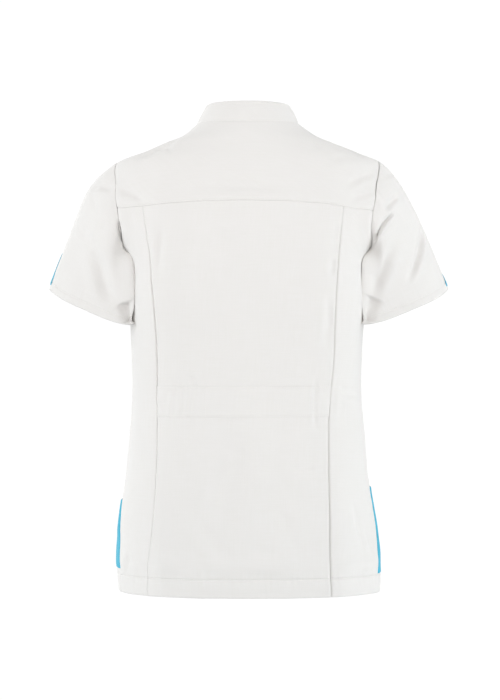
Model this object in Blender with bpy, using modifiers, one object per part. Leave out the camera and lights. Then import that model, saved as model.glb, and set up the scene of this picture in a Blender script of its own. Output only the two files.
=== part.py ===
"""A women's short-sleeved medical tunic, in the hollow form that it has when worn.

Metres, +Z up. The origin is on the centre plane, level with the neck seam at the centre back, where the wearer's neck
and shoulders carry the tunic. The front faces -Y and the wearer's left is +X.

The body of the tunic is one smooth surface, torso(). A place on it is (around, up): around is the angle in degrees
from the centre back (0) past the wearer's left side (90) to the centre front (180), and negative past the right side.
up is the height of the level ring through that place, read at the centre back. Each body panel is a grid of places
between seams that it shares, point for point, with its neighbours. A sleeve is a loft from the armhole to its hem.
A wall is its grid thickened both ways, and a piece that lies on a panel is made from that panel's points, moved out.
"""

from collections import namedtuple

import bpy
import numpy as np
from mathutils import Matrix, Vector

NAME = "medical_tunic"

# ---- Cloth and sewing -------------------------------------------------------
WALL = 0.0015  # thickness of every cloth wall
GAP = 0.0003  # clear space between two pieces at a seam
SEAM_INSET = 0.0002  # how far each panel's edge stays back from a flat seam
FOLDED_SEAM_INSET = 0.00045  # the same at the armholes and the neck, where cloth turns a corner
LAY_ON = WALL + GAP  # from a panel's middle to the middle of a piece lying on it

# ---- The body of the tunic: level rings, from the hem up to the neck seam ----------------------------------------
Ring = namedtuple("Ring", "up side_z front_z half_width back_y front_y square centre_x")
RINGS = (
    Ring(-0.706, -0.7070, -0.705, 0.1985, 0.1300, 0.134, 2.30, -0.0035),  # hem edge
    Ring(-0.655, -0.6550, -0.653, 0.1995, 0.1300, 0.135, 2.30, -0.0010),  # widest, over the hips
    Ring(-0.600, -0.6000, -0.598, 0.1940, 0.1265, 0.134, 2.30, 0.0000),
    Ring(-0.540, -0.5400, -0.538, 0.1850, 0.1200, 0.133, 2.30, 0.0000),
    Ring(-0.480, -0.4800, -0.478, 0.1800, 0.1120, 0.130, 2.30, 0.0000),
    Ring(-0.415, -0.4150, -0.413, 0.1750, 0.1060, 0.128, 2.30, 0.0015),  # waist
    Ring(-0.340, -0.3400, -0.338, 0.1750, 0.1090, 0.134, 2.30, 0.0015),
    Ring(-0.270, -0.2700, -0.268, 0.1765, 0.1160, 0.146, 2.30, 0.0000),  # bust
    Ring(-0.200, -0.2000, -0.200, 0.1780, 0.1210, 0.146, 2.35, 0.0000),  # armpit
    Ring(-0.160, -0.1680, -0.170, 0.1960, 0.1210, 0.137, 2.35, 0.0000),
    Ring(-0.121, -0.1420, -0.145, 0.2100, 0.1155, 0.123, 2.30, 0.0000),  # yoke seam
    Ring(-0.080, -0.1000, -0.119, 0.2120, 0.1030, 0.107, 2.20, 0.0000),
    Ring(-0.048, -0.0545, -0.101, 0.1995, 0.0905, 0.094, 2.05, 0.0000),  # shoulder point
    Ring(-0.034, -0.0420, -0.092, 0.1695, 0.0835, 0.087, 2.00, 0.0000),
    Ring(-0.021, -0.0300, -0.083, 0.1395, 0.0775, 0.080, 2.00, 0.0000),
    Ring(-0.010, -0.0165, -0.075, 0.1060, 0.0715, 0.074, 2.00, 0.0000),
    Ring(0.000, 0.0035, -0.067, 0.0775, 0.0655, 0.069, 2.00, 0.0000),  # neck seam
)
HEM, ARMPIT, SHOULDER, NECK = RINGS[0].up, -0.200, -0.048, 0.0

# ---- Seams on the body --------------------------------------------------------------------------------------------
# across is a princess seam's distance from the centre plane; slip is how far the cloth has turned to the left.
PrincessPoint = namedtuple("PrincessPoint", "up across slip")
PRINCESS = (
    PrincessPoint(-0.706, 0.1365, 0.0125),
    PrincessPoint(-0.662, 0.1345, 0.0125),
    PrincessPoint(-0.600, 0.1310, 0.0090),
    PrincessPoint(-0.510, 0.1285, 0.0075),
    PrincessPoint(-0.420, 0.1290, 0.0060),
    PrincessPoint(-0.360, 0.1320, 0.0030),
    PrincessPoint(-0.290, 0.1345, 0.0035),
    PrincessPoint(-0.200, 0.1415, 0.0055),
    PrincessPoint(-0.115, 0.1500, 0.0070),
)
SidePoint = namedtuple("SidePoint", "up around")
SIDE_SEAM = (
    SidePoint(-0.706, 79.5),
    SidePoint(-0.660, 79.0),
    SidePoint(-0.600, 81.5),
    SidePoint(-0.550, 85.0),
    SidePoint(-0.480, 89.0),
    SidePoint(-0.400, 90.0),
    SidePoint(-0.200, 90.0),
)
# An armhole is a loop of turns: 0 at the shoulder point, 90 at the back, 180 at the armpit, -90 at the front.
# back_reach and front_reach are how far it goes round the body; yoke_turn is where the yoke seam meets it.
Armhole = namedtuple("Armhole", "back_reach front_reach yoke_turn")
ARMHOLES = {1: Armhole(24.5, 35.0, 81.0), -1: Armhole(31.0, 36.0, 86.0)}
ARMHOLE_ROUNDNESS = 0.7  # under 1 squares the loop
FRONT_YOKE_TURN = -22.0  # where the yoke's front seam meets the armhole
FRONT_YOKE_NECK = 114.0  # around of its other end, on the neck seam
YOKE_AT_CENTRE = -0.121  # up of the yoke seam at the centre back
YOKE_AT_PRINCESS = {1: -0.115, -1: -0.118}  # up at which each princess seam is read where it meets the yoke
OVERLAP = 0.015  # how far each front passes the centre line
LAPPED = LAY_ON / 2  # the right front stands out by this, and the left one stands in
LAPPED_COLUMNS = 3  # a front's columns in the lap: its edge, the centre line and its far side

# ---- How finely the cloth is drawn --------------------------------------------------------------------------------
HEM_STITCH = -0.679  # up of the stitch line that holds the turned-up hem
POCKET_TOP = -0.552
BAND_BOTTOM, BAND_TOP = -0.4415, -0.3955
LEVELS = np.array(
    (HEM, HEM_STITCH, -0.640, -0.598, POCKET_TOP, -0.500, BAND_BOTTOM, -0.4185, BAND_TOP, -0.345, -0.295, -0.250, ARMPIT)
)
ROWS_TO_YOKE = 7  # rows from the armpit to the yoke seam
ROWS_TO_FRONT_YOKE = 9  # rows from the armpit to the front yoke seam
YOKE_ROWS = 5
CENTRE_COLUMNS = 10
SIDE_COLUMNS = 5
YOKE_ARM_COLUMNS = 7  # yoke columns along each armhole
FRONT_NECK_COLUMNS = 5
COLLAR_ROWS = 2
COLLAR_FRONT_COLUMNS = 8  # from the yoke's seam to each end of the collar
TOP_EASE = 1.3  # over 1 keeps the bend towards a panel's top edge near that edge
TURN_STEP, UP_STEP = 0.5, 0.0005  # degrees and metres: a surface's slope is read between two places this far off
ARC_SAMPLES = 400  # for measuring along an armhole

# ---- Collar, sleeves and what lies on the panels ------------------------------------------------------------------
COLLAR_BACK_HEIGHT, COLLAR_SIDE_HEIGHT = 0.0335, 0.0290
COLLAR_LEAN = 0.0145  # how far its top edge leans in over the neck
COLLAR_END = 0.0030  # from the centre line to each end of the collar
COLLAR_CORNER_DROPS = (0.0080, 0.0016)  # how much lower its last two columns are, which rounds each end

# The hem's loop runs from its outer end, at the top of the arm, to its inner end, at the underarm seam. drop is how much
# lower it hangs at back and front, and fullness lengthens the handles along the top of the arm.
SleeveHem = namedtuple("SleeveHem", "outer_x outer_z inner_x inner_z outer_y inner_y half_depth drop fullness")
SLEEVE_HEMS = {
    1: SleeveHem(0.3045, -0.247, 0.1775, -0.3030, -0.016, 0.014, 0.0455, 0.0080, 1.25),
    -1: SleeveHem(0.3085, -0.2475, 0.1775, -0.3020, -0.016, 0.014, 0.0425, 0.0080, 0.88),
}
# Lines down a sleeve from the armhole: the way (out, back, up) that each sets off in, how much it leans out where it
# meets the hem, and its two handle lengths.
SleeveLine = namedtuple("SleeveLine", "out back up end_out start_handle end_handle")
SLEEVE_LINES = (
    SleeveLine(0.84, 0.00, -0.54, 0.40, 0.060, 0.120),  # along the top of the arm
    SleeveLine(0.66, 0.22, -0.72, 0.30, 0.050, 0.070),  # down the back
    SleeveLine(0.25, 0.30, -0.90, 0.00, 0.020, 0.050),  # along the underarm seam
    SleeveLine(0.66, -0.22, -0.72, 0.30, 0.050, 0.070),  # down the front
)
SLEEVE_STEPS = np.array((0.0, 0.07, 0.18, 0.32, 0.48, 0.64, 0.78, 0.90, 1.0))

BAND_THROUGH = (LEVELS.searchsorted(BAND_BOTTOM), LEVELS.searchsorted(BAND_TOP))
POCKET_THROUGH = (LEVELS.searchsorted(HEM_STITCH), LEVELS.searchsorted(POCKET_TOP))
POCKET_COLUMNS = 7
POCKET_PUFF = 0.0025  # how far the pocket's mouth stands off the front
# Each column of a sleeve's contrast insert, from just behind the top of the arm forwards: where it starts down
# the sleeve, from 0 at the armhole to 1 at the hem.
INSERT_TOPS = {1: (0.88, 0.78, 0.74, 0.71, 0.70, 0.70), -1: (0.93, 0.84, 0.77, 0.72, 0.70, 0.70)}
INSERT_BOTTOM = 0.955
INSERT_LIFT = LAY_ON + 0.0004  # its slanted top crosses the sleeve's bends, so it lies a little clear
INSERT_ROWS = 3

STUD_COUNT = 6
STUD_TOP = -0.020  # up of the highest stud
STUD_PITCH = 0.109
STUD_RADIUS = 0.0055
STUD_HEIGHT = 0.0020
STUD_CLEAR = 0.0005  # under the cap, where the cloth bends below it
STUD_STEPS = 16
STUD_OUTLINE = ((0.0, 1.0), (0.55, 0.92), (0.92, 0.55), (1.0, 0.15), (1.0, 0.0), (0.0, 0.0))  # shares of radius, height
SAME_POINT = 0.00001  # points nearer than this are joined where the cap meets its axis

# ---- The largest folds: a soft trough from one place to another ---------------------------------------------------
Fold = namedtuple("Fold", "start end depth width")
TORSO_FOLDS = (
    Fold((90.0, -0.010), (90.0, -0.036), 0.0050, 0.030),  # the left shoulder's slope is hollower
    Fold((-18.0, -0.098), (20.0, -0.098), 0.0020, 0.012),  # across the yoke, under the collar
    Fold((2.0, -0.500), (19.0, -0.640), 0.0035, 0.022),  # slanting down the centre back
    Fold((51.0, -0.170), (44.0, -0.240), 0.0020, 0.012),  # beside the left princess seam
    Fold((160.0, -0.480), (140.0, -0.620), 0.0035, 0.024),  # slanting down the left front
    Fold((-150.0, -0.300), (-128.0, -0.430), 0.0030, 0.022),  # under the bust on the right front
)
# On a sleeve a place is (turn, step): turn as round the armhole, step from 0 at the armhole to 1 at the hem.
SLEEVE_FOLDS = {
    1: (Fold((95.0, 0.45), (140.0, 1.00), 0.0060, 0.018), Fold((-95.0, 0.35), (-140.0, 0.95), 0.0060, 0.018)),
    -1: (Fold((100.0, 0.30), (138.0, 0.80), 0.0070, 0.016), Fold((-90.0, 0.40), (-135.0, 1.00), 0.0060, 0.018)),
}
SLEEVE_FOLD_FADE = 0.25  # step by which a sleeve's folds reach full depth

# ---- Colours ------------------------------------------------------------------------------------------------------
WHITE = (0.84, 0.83, 0.82, 1.0)
SKY_BLUE = (0.09, 0.47, 0.68, 1.0)
STUD_WHITE = (0.80, 0.80, 0.79, 1.0)


def smooth(rows, column, at):
    """The column's value at heights `at`, on a smooth curve through the table's rows."""
    knots = np.array([row.up for row in rows])
    values = np.array([getattr(row, column) for row in rows])
    slopes = np.gradient(values, knots)
    low = np.clip(np.searchsorted(knots, at, side="right") - 1, 0, len(knots) - 2)
    span = knots[low + 1] - knots[low]
    t = (at - knots[low]) / span
    return (
        (2 * t**3 - 3 * t**2 + 1) * values[low]
        + (t**3 - 2 * t**2 + t) * span * slopes[low]
        + (3 * t**2 - 2 * t**3) * values[low + 1]
        + (t**3 - t**2) * span * slopes[low + 1]
    )


def unit(vectors):
    return vectors / np.linalg.norm(vectors, axis=-1, keepdims=True)


def torso(places):
    """Points of the body's surface at an array of (around, up)."""
    around, up = np.radians(places[..., 0]), places[..., 1]
    side, back = np.sin(around), np.cos(around)
    power = 2 / smooth(RINGS, "square", up)
    depth = np.where(back > 0, smooth(RINGS, "back_y", up), smooth(RINGS, "front_y", up))
    end_z = np.where(back > 0, up, smooth(RINGS, "front_z", up))
    side_z = smooth(RINGS, "side_z", up)
    x = smooth(RINGS, "centre_x", up) + smooth(RINGS, "half_width", up) * np.sign(side) * np.abs(side) ** power
    y = depth * np.sign(back) * np.abs(back) ** power
    return np.stack((x, y, side_z + (end_z - side_z) * back**2), axis=-1)


def outward(places):
    """The body's outward directions at an array of places."""
    along = torso(places + (TURN_STEP, 0.0)) - torso(places - (TURN_STEP, 0.0))
    rising = torso(places + (0.0, UP_STEP)) - torso(places - (0.0, UP_STEP))
    return unit(np.cross(rising, along))


def trough(points, fold, start, end):
    """How deep a fold from start to end is at each point."""
    run = end - start
    along = np.clip(((points - start) @ run) / (run @ run), 0.0, 1.0)
    away = np.linalg.norm(points - (start + along[..., None] * run), axis=-1)
    return fold.depth * np.exp(-((away / fold.width) ** 2))


def body_points(places):
    """Points of the body's cloth: the torso's surface with its largest folds."""
    points = torso(places)
    depth = sum(trough(points, fold, *torso(np.array((fold.start, fold.end)))) for fold in TORSO_FOLDS)
    return points - depth[..., None] * outward(places)


def around_at(x, up):
    """The angle at which the ring at `up` is x from the centre plane, at the back."""
    share = (x - smooth(RINGS, "centre_x", up)) / smooth(RINGS, "half_width", up)
    return np.degrees(np.arcsin(np.sign(share) * np.abs(share) ** (smooth(RINGS, "square", up) / 2)))


def places_of(around, up):
    return np.stack(np.broadcast_arrays(around, up), axis=-1)


def princess_seam(side, ups):
    x = side * smooth(PRINCESS, "across", ups) + smooth(PRINCESS, "slip", ups)
    return places_of(around_at(x, ups), ups)


def side_seam(side, ups):
    return places_of(side * smooth(SIDE_SEAM, "around", ups), ups)


def armhole(side, turns):
    """Places on the armhole's loop at an array of turns in degrees."""
    hole, angle = ARMHOLES[side], np.radians(turns)
    reach = np.where(np.sin(angle) > 0, hole.back_reach, hole.front_reach)
    swing = reach * np.sign(np.sin(angle)) * np.abs(np.sin(angle)) ** ARMHOLE_ROUNDNESS
    up = (ARMPIT + SHOULDER) / 2 + (SHOULDER - ARMPIT) / 2 * np.cos(angle)
    return places_of(side * (90.0 - swing), up)


def even_turns(side, first, last, count):
    """Turns from first to last that cut the armhole into `count` stretches of equal length."""
    turns = np.linspace(first, last, ARC_SAMPLES)
    steps = np.linalg.norm(np.diff(torso(armhole(side, turns)), axis=0), axis=1)
    length = np.concatenate(([0.0], np.cumsum(steps)))
    return np.interp(np.linspace(0.0, length[-1], count + 1), length, turns)


def armhole_turns(side):
    """The turns that every piece round an armhole shares: from the armpit up the back, over the top, down the front."""
    yoke_turn = ARMHOLES[side].yoke_turn
    back = even_turns(side, 180.0, yoke_turn, ROWS_TO_YOKE)
    top = even_turns(side, yoke_turn, FRONT_YOKE_TURN, YOKE_ARM_COLUMNS)
    front = even_turns(side, FRONT_YOKE_TURN, -180.0, ROWS_TO_FRONT_YOKE)
    return back, top, front


def yoke_seam():
    """Places along the yoke seam, from the right armhole to the left one."""
    ends = [armhole(side, np.array(ARMHOLES[side].yoke_turn)) for side in (-1, 1)]
    meets = [princess_seam(side, np.array(YOKE_AT_PRINCESS[side])) for side in (-1, 1)]
    corners = [ends[0][0], meets[0][0], meets[1][0], ends[1][0]]
    around = np.concatenate(
        (
            np.linspace(corners[0], corners[1], SIDE_COLUMNS + 1),
            np.linspace(corners[1], corners[2], CENTRE_COLUMNS + 1)[1:],
            np.linspace(corners[2], corners[3], SIDE_COLUMNS + 1)[1:],
        )
    )
    end = np.where(around > 0, ends[1][1], ends[0][1])
    reach = np.where(around > 0, ends[1][0], -ends[0][0])
    return places_of(around, YOKE_AT_CENTRE + (end - YOKE_AT_CENTRE) * (around / reach) ** 2)


def front_yoke_seam(side):
    """Places along the yoke's front seam, from the neck to the armhole."""
    start = np.array((side * FRONT_YOKE_NECK, NECK))
    return np.linspace(start, armhole(side, np.array(FRONT_YOKE_TURN)), YOKE_ROWS + 1)


def between(first, last, top=None, straight_rows=0):
    """A grid of places from the `first` edge to the `last`; above the straight rows it bends to meet `top`."""
    shares = np.linspace(0.0, 1.0, len(top) if top is not None else 2)[:, None]
    grid = first[:, None] * (1 - shares) + last[:, None] * shares
    if top is not None:
        rise = np.clip((np.arange(len(first)) - straight_rows) / (len(first) - 1 - straight_rows), 0.0, 1.0)
        grid = grid + (rise**TOP_EASE)[:, None, None] * (top - grid[-1])
    return grid


def back_edges(side):
    """The two long edges of a side back: its princess seam, and its side seam with the armhole above."""
    back_turns, _, _ = armhole_turns(side)
    outer = np.concatenate((side_seam(side, LEVELS), armhole(side, back_turns[1:])))
    seam = yoke_seam()
    meet = seam[SIDE_COLUMNS if side < 0 else -1 - SIDE_COLUMNS]
    ups = np.concatenate((LEVELS, np.linspace(ARMPIT, meet[1], ROWS_TO_YOKE + 1)[1:]))
    inner = princess_seam(side, ups)
    inner[-1] = meet
    return inner, outer


def back_centre_places():
    seam = yoke_seam()[SIDE_COLUMNS:-SIDE_COLUMNS]
    return between(back_edges(-1)[0], back_edges(1)[0], seam, len(LEVELS) - 1)


def back_side_places(side):
    inner, outer = back_edges(side)
    if side < 0:
        return between(outer, inner, yoke_seam()[: SIDE_COLUMNS + 1], len(LEVELS) - 1)
    return between(inner, outer, yoke_seam()[-1 - SIDE_COLUMNS :], len(LEVELS) - 1)


def yoke_places():
    """From its lower edge, which is the yoke seam between the two armholes' tops, in to the neck seam."""
    right = armhole(-1, armhole_turns(-1)[1][::-1])
    left = armhole(1, armhole_turns(1)[1])
    lower = np.concatenate((right[:-1], yoke_seam(), left[1:]))
    upper = lower * np.array((FRONT_YOKE_NECK / lower[-1, 0], 0.0))
    upper[:, 0] *= np.where(lower[:, 0] < 0, lower[-1, 0] / -lower[0, 0], 1.0)
    rows = np.linspace(0.0, 1.0, YOKE_ROWS + 1)[:, None, None]
    return lower * (1 - rows) + upper * rows


def front_places(side):
    """From the front edge past the centre line, round to the side seam, with the neck and front yoke seam on top."""
    _, _, front_turns = armhole_turns(side)
    outer = np.concatenate((side_seam(side, LEVELS), armhole(side, front_turns[::-1][1:])))
    ups = np.concatenate((LEVELS, np.linspace(ARMPIT, NECK, ROWS_TO_FRONT_YOKE + 1)[1:]))
    edge, centre, inner = (
        places_of(side * (180.0 - np.degrees(np.arcsin(x / smooth(RINGS, "half_width", ups)))), ups)
        for x in (-OVERLAP, 0.0, OVERLAP)
    )
    neck = np.linspace(inner[-1], (side * FRONT_YOKE_NECK, NECK), FRONT_NECK_COLUMNS + 1)
    top = np.concatenate((neck, front_yoke_seam(side)[1:]))
    wide = between(inner, outer, top, len(LEVELS) - 1)
    grid = np.concatenate((np.stack((edge, centre), axis=1), wide), axis=1)
    return grid if side < 0 else grid[:, ::-1]


def pulled_back(points, bottom=0.0, top=0.0, first=0.0, last=0.0):
    """The grid with its edges moved in along the cloth, which leaves the gap at each seam."""
    points = points.copy()
    points[0] += bottom * unit(points[1] - points[0])
    points[-1] += top * unit(points[-2] - points[-1])
    points[:, 0] += first * unit(points[:, 1] - points[:, 0])
    points[:, -1] += last * unit(points[:, -2] - points[:, -1])
    return points


def grid_normals(points):
    """Outward directions at a grid's points, from their neighbours."""
    return unit(np.cross(np.gradient(points, axis=0), np.gradient(points, axis=1)))


def seam_start(points, normals, into, ways, inset):
    """Where a piece's edge starts when it sets off in `ways` from cloth that runs `into` the seam.

    Cloth that turns back over its neighbour starts a wall and a gap outside it, and cloth that runs straight on
    starts level with it.
    """
    straight = np.sum(into * ways, axis=-1, keepdims=True)
    return points + LAY_ON * (1 - straight) / 2 * normals + inset * ways


def sleeve_ring(side):
    """The closed ring of turns round a sleeve, from the armpit up the back and down the front, its end left out."""
    return np.concatenate([part[:-1] for part in armhole_turns(side)])


def line_value(column, turns):
    """A column of the sleeve's lines at each turn: it passes smoothly from each line to the next."""
    top, back, under, front = (getattr(line, column) for line in SLEEVE_LINES)
    across, along = np.sin(np.radians(turns)), np.cos(np.radians(turns))
    return np.where(along > 0, top, under) * along**2 + np.where(across > 0, back, front) * across**2


def sleeve_surface(side, turns, steps):
    """Points of a sleeve at a grid of turns and steps, before its folds."""
    places = armhole(side, turns)
    along_seam = torso(armhole(side, turns + TURN_STEP)) - torso(armhole(side, turns - TURN_STEP))
    normals = outward(places)
    into = unit(np.cross(along_seam, normals)) * side
    ways = unit(np.stack([line_value(column, turns) for column in ("out", "back", "up")], axis=-1) * (side, 1, 1))
    start = seam_start(body_points(places), normals, into, ways, FOLDED_SEAM_INSET)

    hem = SLEEVE_HEMS[side]
    outer = np.array((side * hem.outer_x, hem.outer_y, hem.outer_z))
    inner = np.array((side * hem.inner_x, hem.inner_y, hem.inner_z))
    across, along = np.sin(np.radians(turns))[..., None], np.cos(np.radians(turns))[..., None]
    lean = line_value("end_out", turns)
    down = np.stack((side * lean, np.zeros_like(lean), -np.sqrt(1 - lean**2)), axis=-1)
    end = (outer + inner) / 2 + (outer - inner) / 2 * along + hem.half_depth * across * (0, 1, 0)
    end = end + hem.drop * (1 - along**4) * down

    fullness = 1 + (hem.fullness - 1) * along.clip(0.0)
    first = start + fullness * line_value("start_handle", turns)[..., None] * ways
    second = end - fullness * line_value("end_handle", turns)[..., None] * down
    t = np.asarray(steps)[..., None]
    return start * (1 - t) ** 3 + 3 * first * t * (1 - t) ** 2 + 3 * second * t**2 * (1 - t) + end * t**3


def sleeve_points(side):
    """The sleeve's closed grid with its largest folds, its steps as rows."""
    turns, steps = np.meshgrid(sleeve_ring(side), SLEEVE_STEPS)
    points = sleeve_surface(side, turns, steps)
    along = sleeve_surface(side, turns + TURN_STEP, steps) - sleeve_surface(side, turns - TURN_STEP, steps)
    down = unit(points[-1].mean(axis=0) - points[0].mean(axis=0))
    normals = unit(np.cross(down, along)) * side
    depth = sum(
        trough(points, fold, *sleeve_surface(side, *np.array((fold.start, fold.end)).T)) for fold in SLEEVE_FOLDS[side]
    )
    depth = depth * np.clip(steps / SLEEVE_FOLD_FADE, 0.0, 1.0)
    return points - depth[..., None] * normals


def cloth_material(name, colour, roughness):
    material = bpy.data.materials.new(name)
    material.use_nodes = True
    shader = material.node_tree.nodes["Principled BSDF"]
    shader.inputs["Base Color"].default_value = colour
    shader.inputs["Roughness"].default_value = roughness
    return material


def new_object(name, mesh, material, collection):
    obj = bpy.data.objects.new(name, mesh)
    mesh.materials.append(material)
    collection.objects.link(obj)
    return obj


def cloth(name, points, material, collection, closed=False):
    """A wall of cloth from a grid of points: rows up or down the piece, columns round it."""
    rows, columns = points.shape[:2]
    faces = []
    for row in range(rows - 1):
        for column in range(columns if closed else columns - 1):
            after = (column + 1) % columns
            corners = ((row, column), (row + 1, column), (row + 1, after), (row, after))
            faces.append([r * columns + c for r, c in corners])
    mesh = bpy.data.meshes.new(name)
    mesh.from_pydata([Vector(point) for point in points.reshape(-1, 3)], [], faces)
    mesh.shade_smooth()
    obj = new_object(name, mesh, material, collection)
    solidify = obj.modifiers.new("Wall", "SOLIDIFY")
    solidify.thickness = WALL
    solidify.offset = 0.0
    return obj


def back_points():
    """The grids of the three back panels, each with its seams' gaps."""
    flat, folded = SEAM_INSET, FOLDED_SEAM_INSET
    centre = pulled_back(body_points(back_centre_places()), top=flat, first=flat, last=flat)
    right = pulled_back(body_points(back_side_places(-1)), top=flat, first=folded, last=flat)
    left = pulled_back(body_points(back_side_places(1)), top=flat, first=flat, last=folded)
    return centre, left, right


def front_points(side):
    """A front's grid: its lapped edge stands out on the right front and in on the left one."""
    places = front_places(side)
    points = body_points(places)
    lapped = slice(0, LAPPED_COLUMNS) if side < 0 else slice(-LAPPED_COLUMNS, None)
    points[:, lapped] -= side * LAPPED * outward(places[:, lapped])
    flat, folded = SEAM_INSET, FOLDED_SEAM_INSET
    if side < 0:
        return pulled_back(points, top=folded, last=folded)
    return pulled_back(points, top=folded, first=folded)


def collar_points():
    """From the neck seam up to the collar's top edge, open at the centre front with rounded ends."""
    yoke = yoke_places()[-1]
    end = 180.0 - np.degrees(np.arcsin(COLLAR_END / RINGS[-1].half_width))
    fronts = np.linspace(FRONT_YOKE_NECK, end, COLLAR_FRONT_COLUMNS)[1:]
    around = np.concatenate((-fronts[::-1], yoke[:, 0], fronts))
    places = places_of(around, np.zeros_like(around))
    seam, normals = torso(places), outward(places)
    level = unit(seam * (1.0, 1.0, 0.0))
    to_side = np.where(np.abs(around) < 90.0, np.sin(np.radians(around)) ** 2, 1.0)  # 0 at the back, 1 from the side on
    height = COLLAR_BACK_HEIGHT + (COLLAR_SIDE_HEIGHT - COLLAR_BACK_HEIGHT) * to_side
    ways = unit(height[:, None] * np.array((0.0, 0.0, 1.0)) - COLLAR_LEAN * level)
    into = unit(torso(places) - torso(places - (0.0, UP_STEP)))
    base = seam_start(seam, normals, into, ways, FOLDED_SEAM_INSET)
    height = np.hypot(height, COLLAR_LEAN)
    for column, drop in enumerate(COLLAR_CORNER_DROPS):
        height[[column, -1 - column]] -= drop
    shares = np.linspace(0.0, 1.0, COLLAR_ROWS + 1)[:, None, None]
    return base + shares * height[:, None] * ways


def pocket_points(side, front):
    """A pocket on a front, from the hem's stitch line up, with its outer edge at the side seam."""
    rows = slice(POCKET_THROUGH[0], POCKET_THROUGH[1] + 1)
    columns = slice(-1 - POCKET_COLUMNS, None) if side < 0 else slice(0, POCKET_COLUMNS + 1)
    points, normals = front[rows, columns], grid_normals(front)[rows, columns]
    across = np.sin(np.linspace(0.0, np.pi, POCKET_COLUMNS + 1))
    up = np.sin(np.linspace(0.0, np.pi / 2, points.shape[0]))
    puff = POCKET_PUFF * up[:, None] * np.sqrt(across.clip(0.0))
    return points + (LAY_ON + puff[..., None]) * normals


def insert_points(side, sleeve):
    """A sleeve's contrast insert: each of its columns lies on a column of the sleeve."""
    turns = sleeve_ring(side)
    first = int(np.argmin(np.abs(turns))) - 1
    normals = -side * grid_normals(sleeve)
    columns = []
    for offset, top in enumerate(INSERT_TOPS[side]):
        steps = np.linspace(top, INSERT_BOTTOM, INSERT_ROWS + 1)
        line, out = sleeve[:, first + offset], normals[:, first + offset]
        lifted = line + INSERT_LIFT * out
        columns.append(np.stack([np.interp(steps, SLEEVE_STEPS, lifted[:, axis]) for axis in range(3)], axis=-1))
    return np.stack(columns, axis=1)


def press_stud(name, up, front, mesh, collection):
    """A press stud's cap, standing on the right front's grid on the centre line."""
    ups = front_places(-1)[:, 1, 1]
    row = int(np.searchsorted(ups, up)) - 1
    share = (up - ups[row]) / (ups[row + 1] - ups[row])
    below, above = front[row : row + 2, 1]
    normal = unit(np.cross(above - below, front[row, 2] - front[row, 0]))
    foot = below + share * (above - below) + (WALL / 2 + STUD_CLEAR) * normal
    obj = bpy.data.objects.new(name, mesh)
    turn = Vector((0.0, 0.0, 1.0)).rotation_difference(Vector(normal)).to_matrix().to_4x4()
    obj.matrix_world = Matrix.Translation(Vector(foot)) @ turn
    collection.objects.link(obj)
    screw = obj.modifiers.new("Turned", "SCREW")
    screw.axis = "Z"
    screw.steps = screw.render_steps = STUD_STEPS
    screw.use_merge_vertices = True
    screw.merge_threshold = SAME_POINT
    return obj


def stud_profile(material):
    """The cap's profile, down its outer side from the middle of its top."""
    mesh = bpy.data.meshes.new("press_stud")
    points = [(share * STUD_RADIUS, 0.0, height * STUD_HEIGHT) for share, height in STUD_OUTLINE]
    mesh.from_pydata(points, [(i, i + 1) for i in range(len(points) - 1)], [])
    mesh.materials.append(material)
    return mesh


def main():
    for obj in list(bpy.data.objects):
        bpy.data.objects.remove(obj)
    collection = bpy.data.collections.new(NAME)
    bpy.context.scene.collection.children.link(collection)
    white = cloth_material("white_twill", WHITE, 0.85)
    blue = cloth_material("sky_blue_twill", SKY_BLUE, 0.85)
    resin = cloth_material("white_resin", STUD_WHITE, 0.35)

    flat, folded = SEAM_INSET, FOLDED_SEAM_INSET
    back_centre, back_left, back_right = back_points()
    cloth("back_centre", back_centre, white, collection)
    cloth("back_side_left", back_left, white, collection)
    cloth("back_side_right", back_right, white, collection)
    yoke = pulled_back(body_points(yoke_places()), bottom=folded, top=folded, first=flat, last=flat)
    cloth("back_yoke", yoke, white, collection)
    band = slice(BAND_THROUGH[0], BAND_THROUGH[1] + 1)
    lifted = back_centre + LAY_ON * grid_normals(back_centre)
    cloth("back_waistband", lifted[band], white, collection)
    cloth("collar", collar_points(), white, collection)

    for side, word in ((1, "left"), (-1, "right")):
        front = front_points(side)
        cloth(f"front_{word}", front, white, collection)
        cloth(f"pocket_{word}", pocket_points(side, front), blue, collection)
        sleeve = sleeve_points(side)
        cloth(f"sleeve_{word}", sleeve, white, collection, closed=True)
        cloth(f"sleeve_insert_{word}", insert_points(side, sleeve), blue, collection)

    cap = stud_profile(resin)
    right_front = front_points(-1)
    for number in range(STUD_COUNT):
        press_stud(f"press_stud_{number + 1}", STUD_TOP - number * STUD_PITCH, right_front, cap, collection)


main()
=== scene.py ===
"""The looks of a women's short-sleeved medical tunic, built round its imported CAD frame.

Metres, +Z up, the front towards -Y and the wearer's left towards +X. The tunic is empty, in the form that
it has when worn. Each cut piece is a thin shell on the form of its CAD solid, with its folds, its rolled
seam edges, its pressed allowances and its turned-up hems in the mesh. Topstitching and press studs are laid
by Geometry Nodes.

The body of the tunic is one smooth surface, as in the CAD. A place on it is (around, up): around is the
angle in degrees from the centre back (0) past the wearer's left side (90) to the centre front (180), and
negative past the right side; up is the height of the level ring through that place, read at the centre
back. A place on a sleeve is (turn, step): turn is 0 along the top of the arm, 90 down its back, 180 at the
underarm seam and negative on its front; step runs from 0 at the armhole to 1 at the hem.

A method that overrides another one takes and returns what that one's docstring says.
"""

import logging
import math
from dataclasses import dataclass, field
from enum import Enum, IntEnum
from typing import Any, Callable, NamedTuple, Optional, Sequence

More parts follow.
